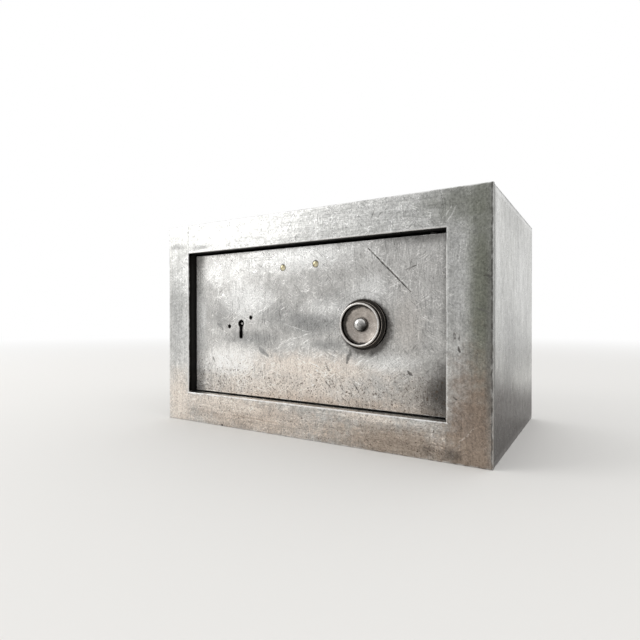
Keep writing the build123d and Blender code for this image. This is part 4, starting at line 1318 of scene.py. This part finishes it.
@dataclass
class DishKnob:
    """The turned dish knob with its dome and the rosette under it."""

    dish: tuple[Pair, ...] = (
        (0, 5.0), (13.8, 5.0), (14.45, 4.7), (14.8, 4.0), (14.8, 2.1), (14.92, 1.5), (15.25, 1.12), (15.7, 1.0),
        (16.15, 1.12), (16.48, 1.5), (16.6, 2.0), (16.5, 2.6), (16.2, 2.95), (15.75, 3.15), (15.62, 3.5),
        (15.62, 4.3), (15.9, 4.55), (16.9, 4.6), (17.2, 4.85), (17.2, 5.2), (17.0, 5.42), (17.9, 5.45),
        (18.2, 5.7), (18.2, 6.1), (0, 6.1),
    )
    dome: tuple[Pair, ...] = (
        (0, 0.75), (0.35, 0.68), (0.6, 0.42), (1.4, 0.5), (2.5, 0.82), (3.6, 1.4), (4.5, 2.15), (5.15, 2.95),
        (5.5, 3.7), (5.62, 4.3), (5.35, 4.62), (5.45, 5.0), (0, 5.0),
    )
    rosette: tuple[Pair, ...] = (
        (6.6, 9.0), (6.6, 6.4), (17.9, 6.4), (18.6, 6.55), (19.05, 6.95), (19.2, 7.6), (19.2, 9.0), (6.6, 9.0),
    )

    def spot(self, right: float, depth: float, up: float) -> Point:
        """A place on the knob, from its axis and behind the front frame."""
        return (KNOB[0] + right, FRONT_Y + depth, KNOB[1] + up)

    def ring(self, radius: float, depth: float, *look: float | Rgb) -> Ring:
        """A ring about the knob's axis, at a depth behind the front frame."""
        return Ring(self.spot(0.0, depth, 0.0), radius, *look)

    def dish_steel(self) -> Turned:
        """Steel with painted shade in the dish's corner, on the neck, in the grooves and round the rosette, a
        painted shadow on the left of the dish's floor, and a painted highlight on its rim and ridges, partly
        wear.
        """
        return Turned("dish_steel", edge=0.12, marks=(
            # Painted shade in the dish's corner, and a painted shadow on the left of its floor.
            self.ring(14.9, 3.0, 2.0, INK, 0.95),
            Ring(self.spot(1.0, 4.6, -0.5), 14.7, 2.4, INK, 0.9),
            # Painted shade on the neck and the grooves, and round the foot of the rosette.
            self.ring(18.2, 5.6, 4.6, INK, 0.97),
            self.ring(19.4, 8.6, 2.6, INK, 0.95),
            # A painted highlight on the rim and the ridges, partly wear.
            self.ring(15.6, 1.0, 1.0, (0.80, 0.78, 0.76), 0.9),
            self.ring(17.15, 4.7, 0.3, PALE_WARM, 0.6),
            self.ring(19.1, 7.0, 0.3, PALE_WARM, 0.3),
        ))

    def dome_steel(self) -> Turned:
        """Brighter steel with painted shade at the foot, a mark in the middle and a painted shadow on its lower
        right side.
        """
        marks = (
            # Painted shade round the dome's foot.
            self.ring(5.6, 4.9, 1.0, INK, 0.95),
            self.ring(0.55, 0.45, 0.4, SLATE, 0.7),
            # Painted shadow on the dome's lower right side.
            SoftPatch(self.spot(4.0, 2.6, -3.0), (7.6, 9.0, 7.6), INK, 0.97, 0.2),
        )
        tones = {"tone": (0.78, 0.77, 0.75), "dark": (0.56, 0.545, 0.525)}
        return Turned("dome_steel", **tones, roughness=0.2, dirt=0.4, marks=marks)

    def build(self) -> None:
        """Make the three turned pieces and dress the spindle's nodes."""
        dish_steel, dome_steel = self.dish_steel().material(), self.dome_steel().material()
        for name, outline, node, body, steel in (
            ("knob_dish", self.dish, "knob", Body.KNOB, dish_steel),
            ("knob_centre", self.dome, "knob_dome", Body.KNOB, dome_steel),
            ("knob_ring", self.rosette, "knob_rosette", Body.DOOR, dish_steel),
        ):
            place_piece(turned_piece(name, outline, (KNOB,), 128), steel, node, body)
        dress(Turned("spindle_steel", tone=(0.46, 0.45, 0.44)), "knob_spindle", "crank_disc", "crank_pin")
        bush_brass = Turned("bush_brass", tone=(0.60, 0.48, 0.24), dark=(0.34, 0.27, 0.14))
        dress(bush_brass, "spindle_bush", "guide_washers")


@dataclass
class Lockwork:
    """The boltwork and the lever lock, inside the door."""

    levers: tuple[str, ...] = ("lever_1", "lever_2", "lever_3")

    def build(self) -> None:
        """Dress every node of the mechanism."""
        dress(Worked("carrier_steel", tone=(0.38, 0.37, 0.35)), "bolt_carrier", "lock_bolt")
        bright_steel = Worked("bright_steel", tone=(0.55, 0.55, 0.54), roughness=0.25)
        dress(bright_steel, "locking_bolts", "bolt_rivets", "carrier_guides", "lever_pivot")
        dress(Worked(
            "lock_iron", tone=(0.10, 0.095, 0.09), dark=(0.05, 0.048, 0.045), grain=Grain.NONE, grain_size=1.2,
            roughness=0.55, depth=0.12,
        ), "lock_case", "lock_cap")
        dress(Worked("lever_brass", tone=(0.62, 0.50, 0.24), dark=(0.36, 0.28, 0.14), size=4.0), *self.levers)
        spring_blue = Worked("spring_blue", tone=(0.12, 0.14, 0.20), dark=(0.06, 0.07, 0.10), roughness=0.3)
        dress(spring_blue, *(f"{lever}_spring" for lever in self.levers))


@dataclass
class Studio:
    """Pale floor, soft lamps, the pale surroundings and the camera. Its lengths are in metres."""

    camera_place: Point = (0.2107, -0.3963, 0.0968)
    yaw: float = 31.63
    pitch: float = 0.29
    lens: float = 26.14
    aim: Point = (0.0, 0.0, 0.09)
    floor_radius: float = 6.0
    floor_tone: Rgb = (0.80, 0.79, 0.77)
    floor_fade: Pair = (0.45, 2.2)

    def build(self) -> None:
        """Set up camera, floor, surroundings and lamps."""
        self.add_camera()
        self.add_floor()
        self.add_surroundings()
        self.add_lamp("window_lamp", (-1.33, -0.95, 0.85), 0.9, 7.5, (1.0, 0.99, 0.97))
        self.add_lamp("fill_lamp", (1.5, -0.5, 1.4), 1.5, 4.0, (1.0, 0.99, 0.98))
        bpy.context.scene.view_settings.view_transform = "Standard"
        log.info("studio")

    def add_camera(self) -> None:
        """Stand the camera where the photograph was taken from."""
        data = bpy.data.cameras.new("camera")
        data.lens = self.lens
        data.sensor_width = 36.0
        data.clip_start = 0.01
        camera = bpy.data.objects.new("camera", data)
        camera.location = self.camera_place
        camera.rotation_euler = (math.radians(90 - self.pitch), 0.0, math.radians(self.yaw))
        bpy.context.scene.collection.objects.link(camera)
        bpy.context.scene.camera = camera

    def add_floor(self) -> None:
        """Lay the pale floor, which fades into the surroundings."""
        mesh = bpy.data.meshes.new("floor")
        shape = bmesh.new()
        bmesh.ops.create_circle(shape, cap_ends=True, segments=96, radius=self.floor_radius)
        shape.to_mesh(mesh)
        shape.free()
        floor = bpy.data.objects.new("floor", mesh)
        bpy.context.scene.collection.objects.link(floor)
        mesh.materials.append(self.floor_card())

    def floor_card(self) -> bpy.types.Material:
        """Card that takes the safe's shadow near it and shows the surroundings further out.

        Returns:
            The floor's material.
        """
        material = bpy.data.materials.new("floor_card")
        material.use_nodes = True
        graph = Graph(material.node_tree)
        shader = graph.tree.nodes["Principled BSDF"]
        shader.inputs["Base Color"].default_value = (*self.floor_tone, 1.0)
        shader.inputs["Roughness"].default_value = 0.85
        way = graph.node("ShaderNodeTexCoord").outputs["Object"]
        glow = graph.node("ShaderNodeEmission", self.surroundings_tone(graph, way))
        path = graph.node("ShaderNodeLightPath").outputs
        seen = graph.maths("MAXIMUM", path["Is Glossy Ray"], path["Is Transmission Ray"])
        seen = graph.maths("MAXIMUM", seen, path["Is Camera Ray"])
        share = graph.times(seen, graph.ramp(graph.vector("LENGTH", way), *self.floor_fade))
        mix = graph.node("ShaderNodeMixShader", share, shader.outputs[0], glow.outputs[0])
        graph.feed(graph.tree.nodes["Material Output"].inputs["Surface"], mix.outputs[0])
        return material

    def add_surroundings(self) -> None:
        """Make the pale surroundings, which the camera and the metal see alike."""
        world = bpy.data.worlds.new("surroundings")
        bpy.context.scene.world = world
        world.use_nodes = True
        graph = Graph(world.node_tree)
        way = graph.node("ShaderNodeTexCoord").outputs["Generated"]
        graph.feed(graph.tree.nodes["Background"].inputs["Color"], self.surroundings_tone(graph, way))

    def surroundings_tone(self, graph: Graph, way: Socket) -> Socket:
        """Colour of the surroundings in a direction."""
        return graph.tint(graph.effect(Surroundings, Way=way).outputs["Mask"], DIM, WHITE)

    def add_lamp(self, name: str, place: Point, size: float, power: float, tone: Rgb) -> None:
        """Hang a soft square lamp that faces the safe.

        Args:
            name: its name.
            place: where it hangs.
            size: its side.
            power: its power, in watts.
            tone: its colour.
        """
        data = bpy.data.lights.new(name, "AREA")
        data.size = size
        data.energy = power
        data.color = tone
        lamp = bpy.data.objects.new(name, data)
        lamp.location = place
        lamp.visible_camera = False
        way = Vector(self.aim) - Vector(place)
        lamp.rotation_euler = way.to_track_quat("-Z", "Y").to_euler()
        bpy.context.scene.collection.objects.link(lamp)


def main() -> None:
    """Build the studio and dress the safe, piece by piece."""
    logging.basicConfig(level=logging.INFO, format="%(message)s")
    for maker in (Studio(), Case(), Door(), DishKnob(), Lockwork()):
        maker.build()


if __name__ == "__main__":
    main()
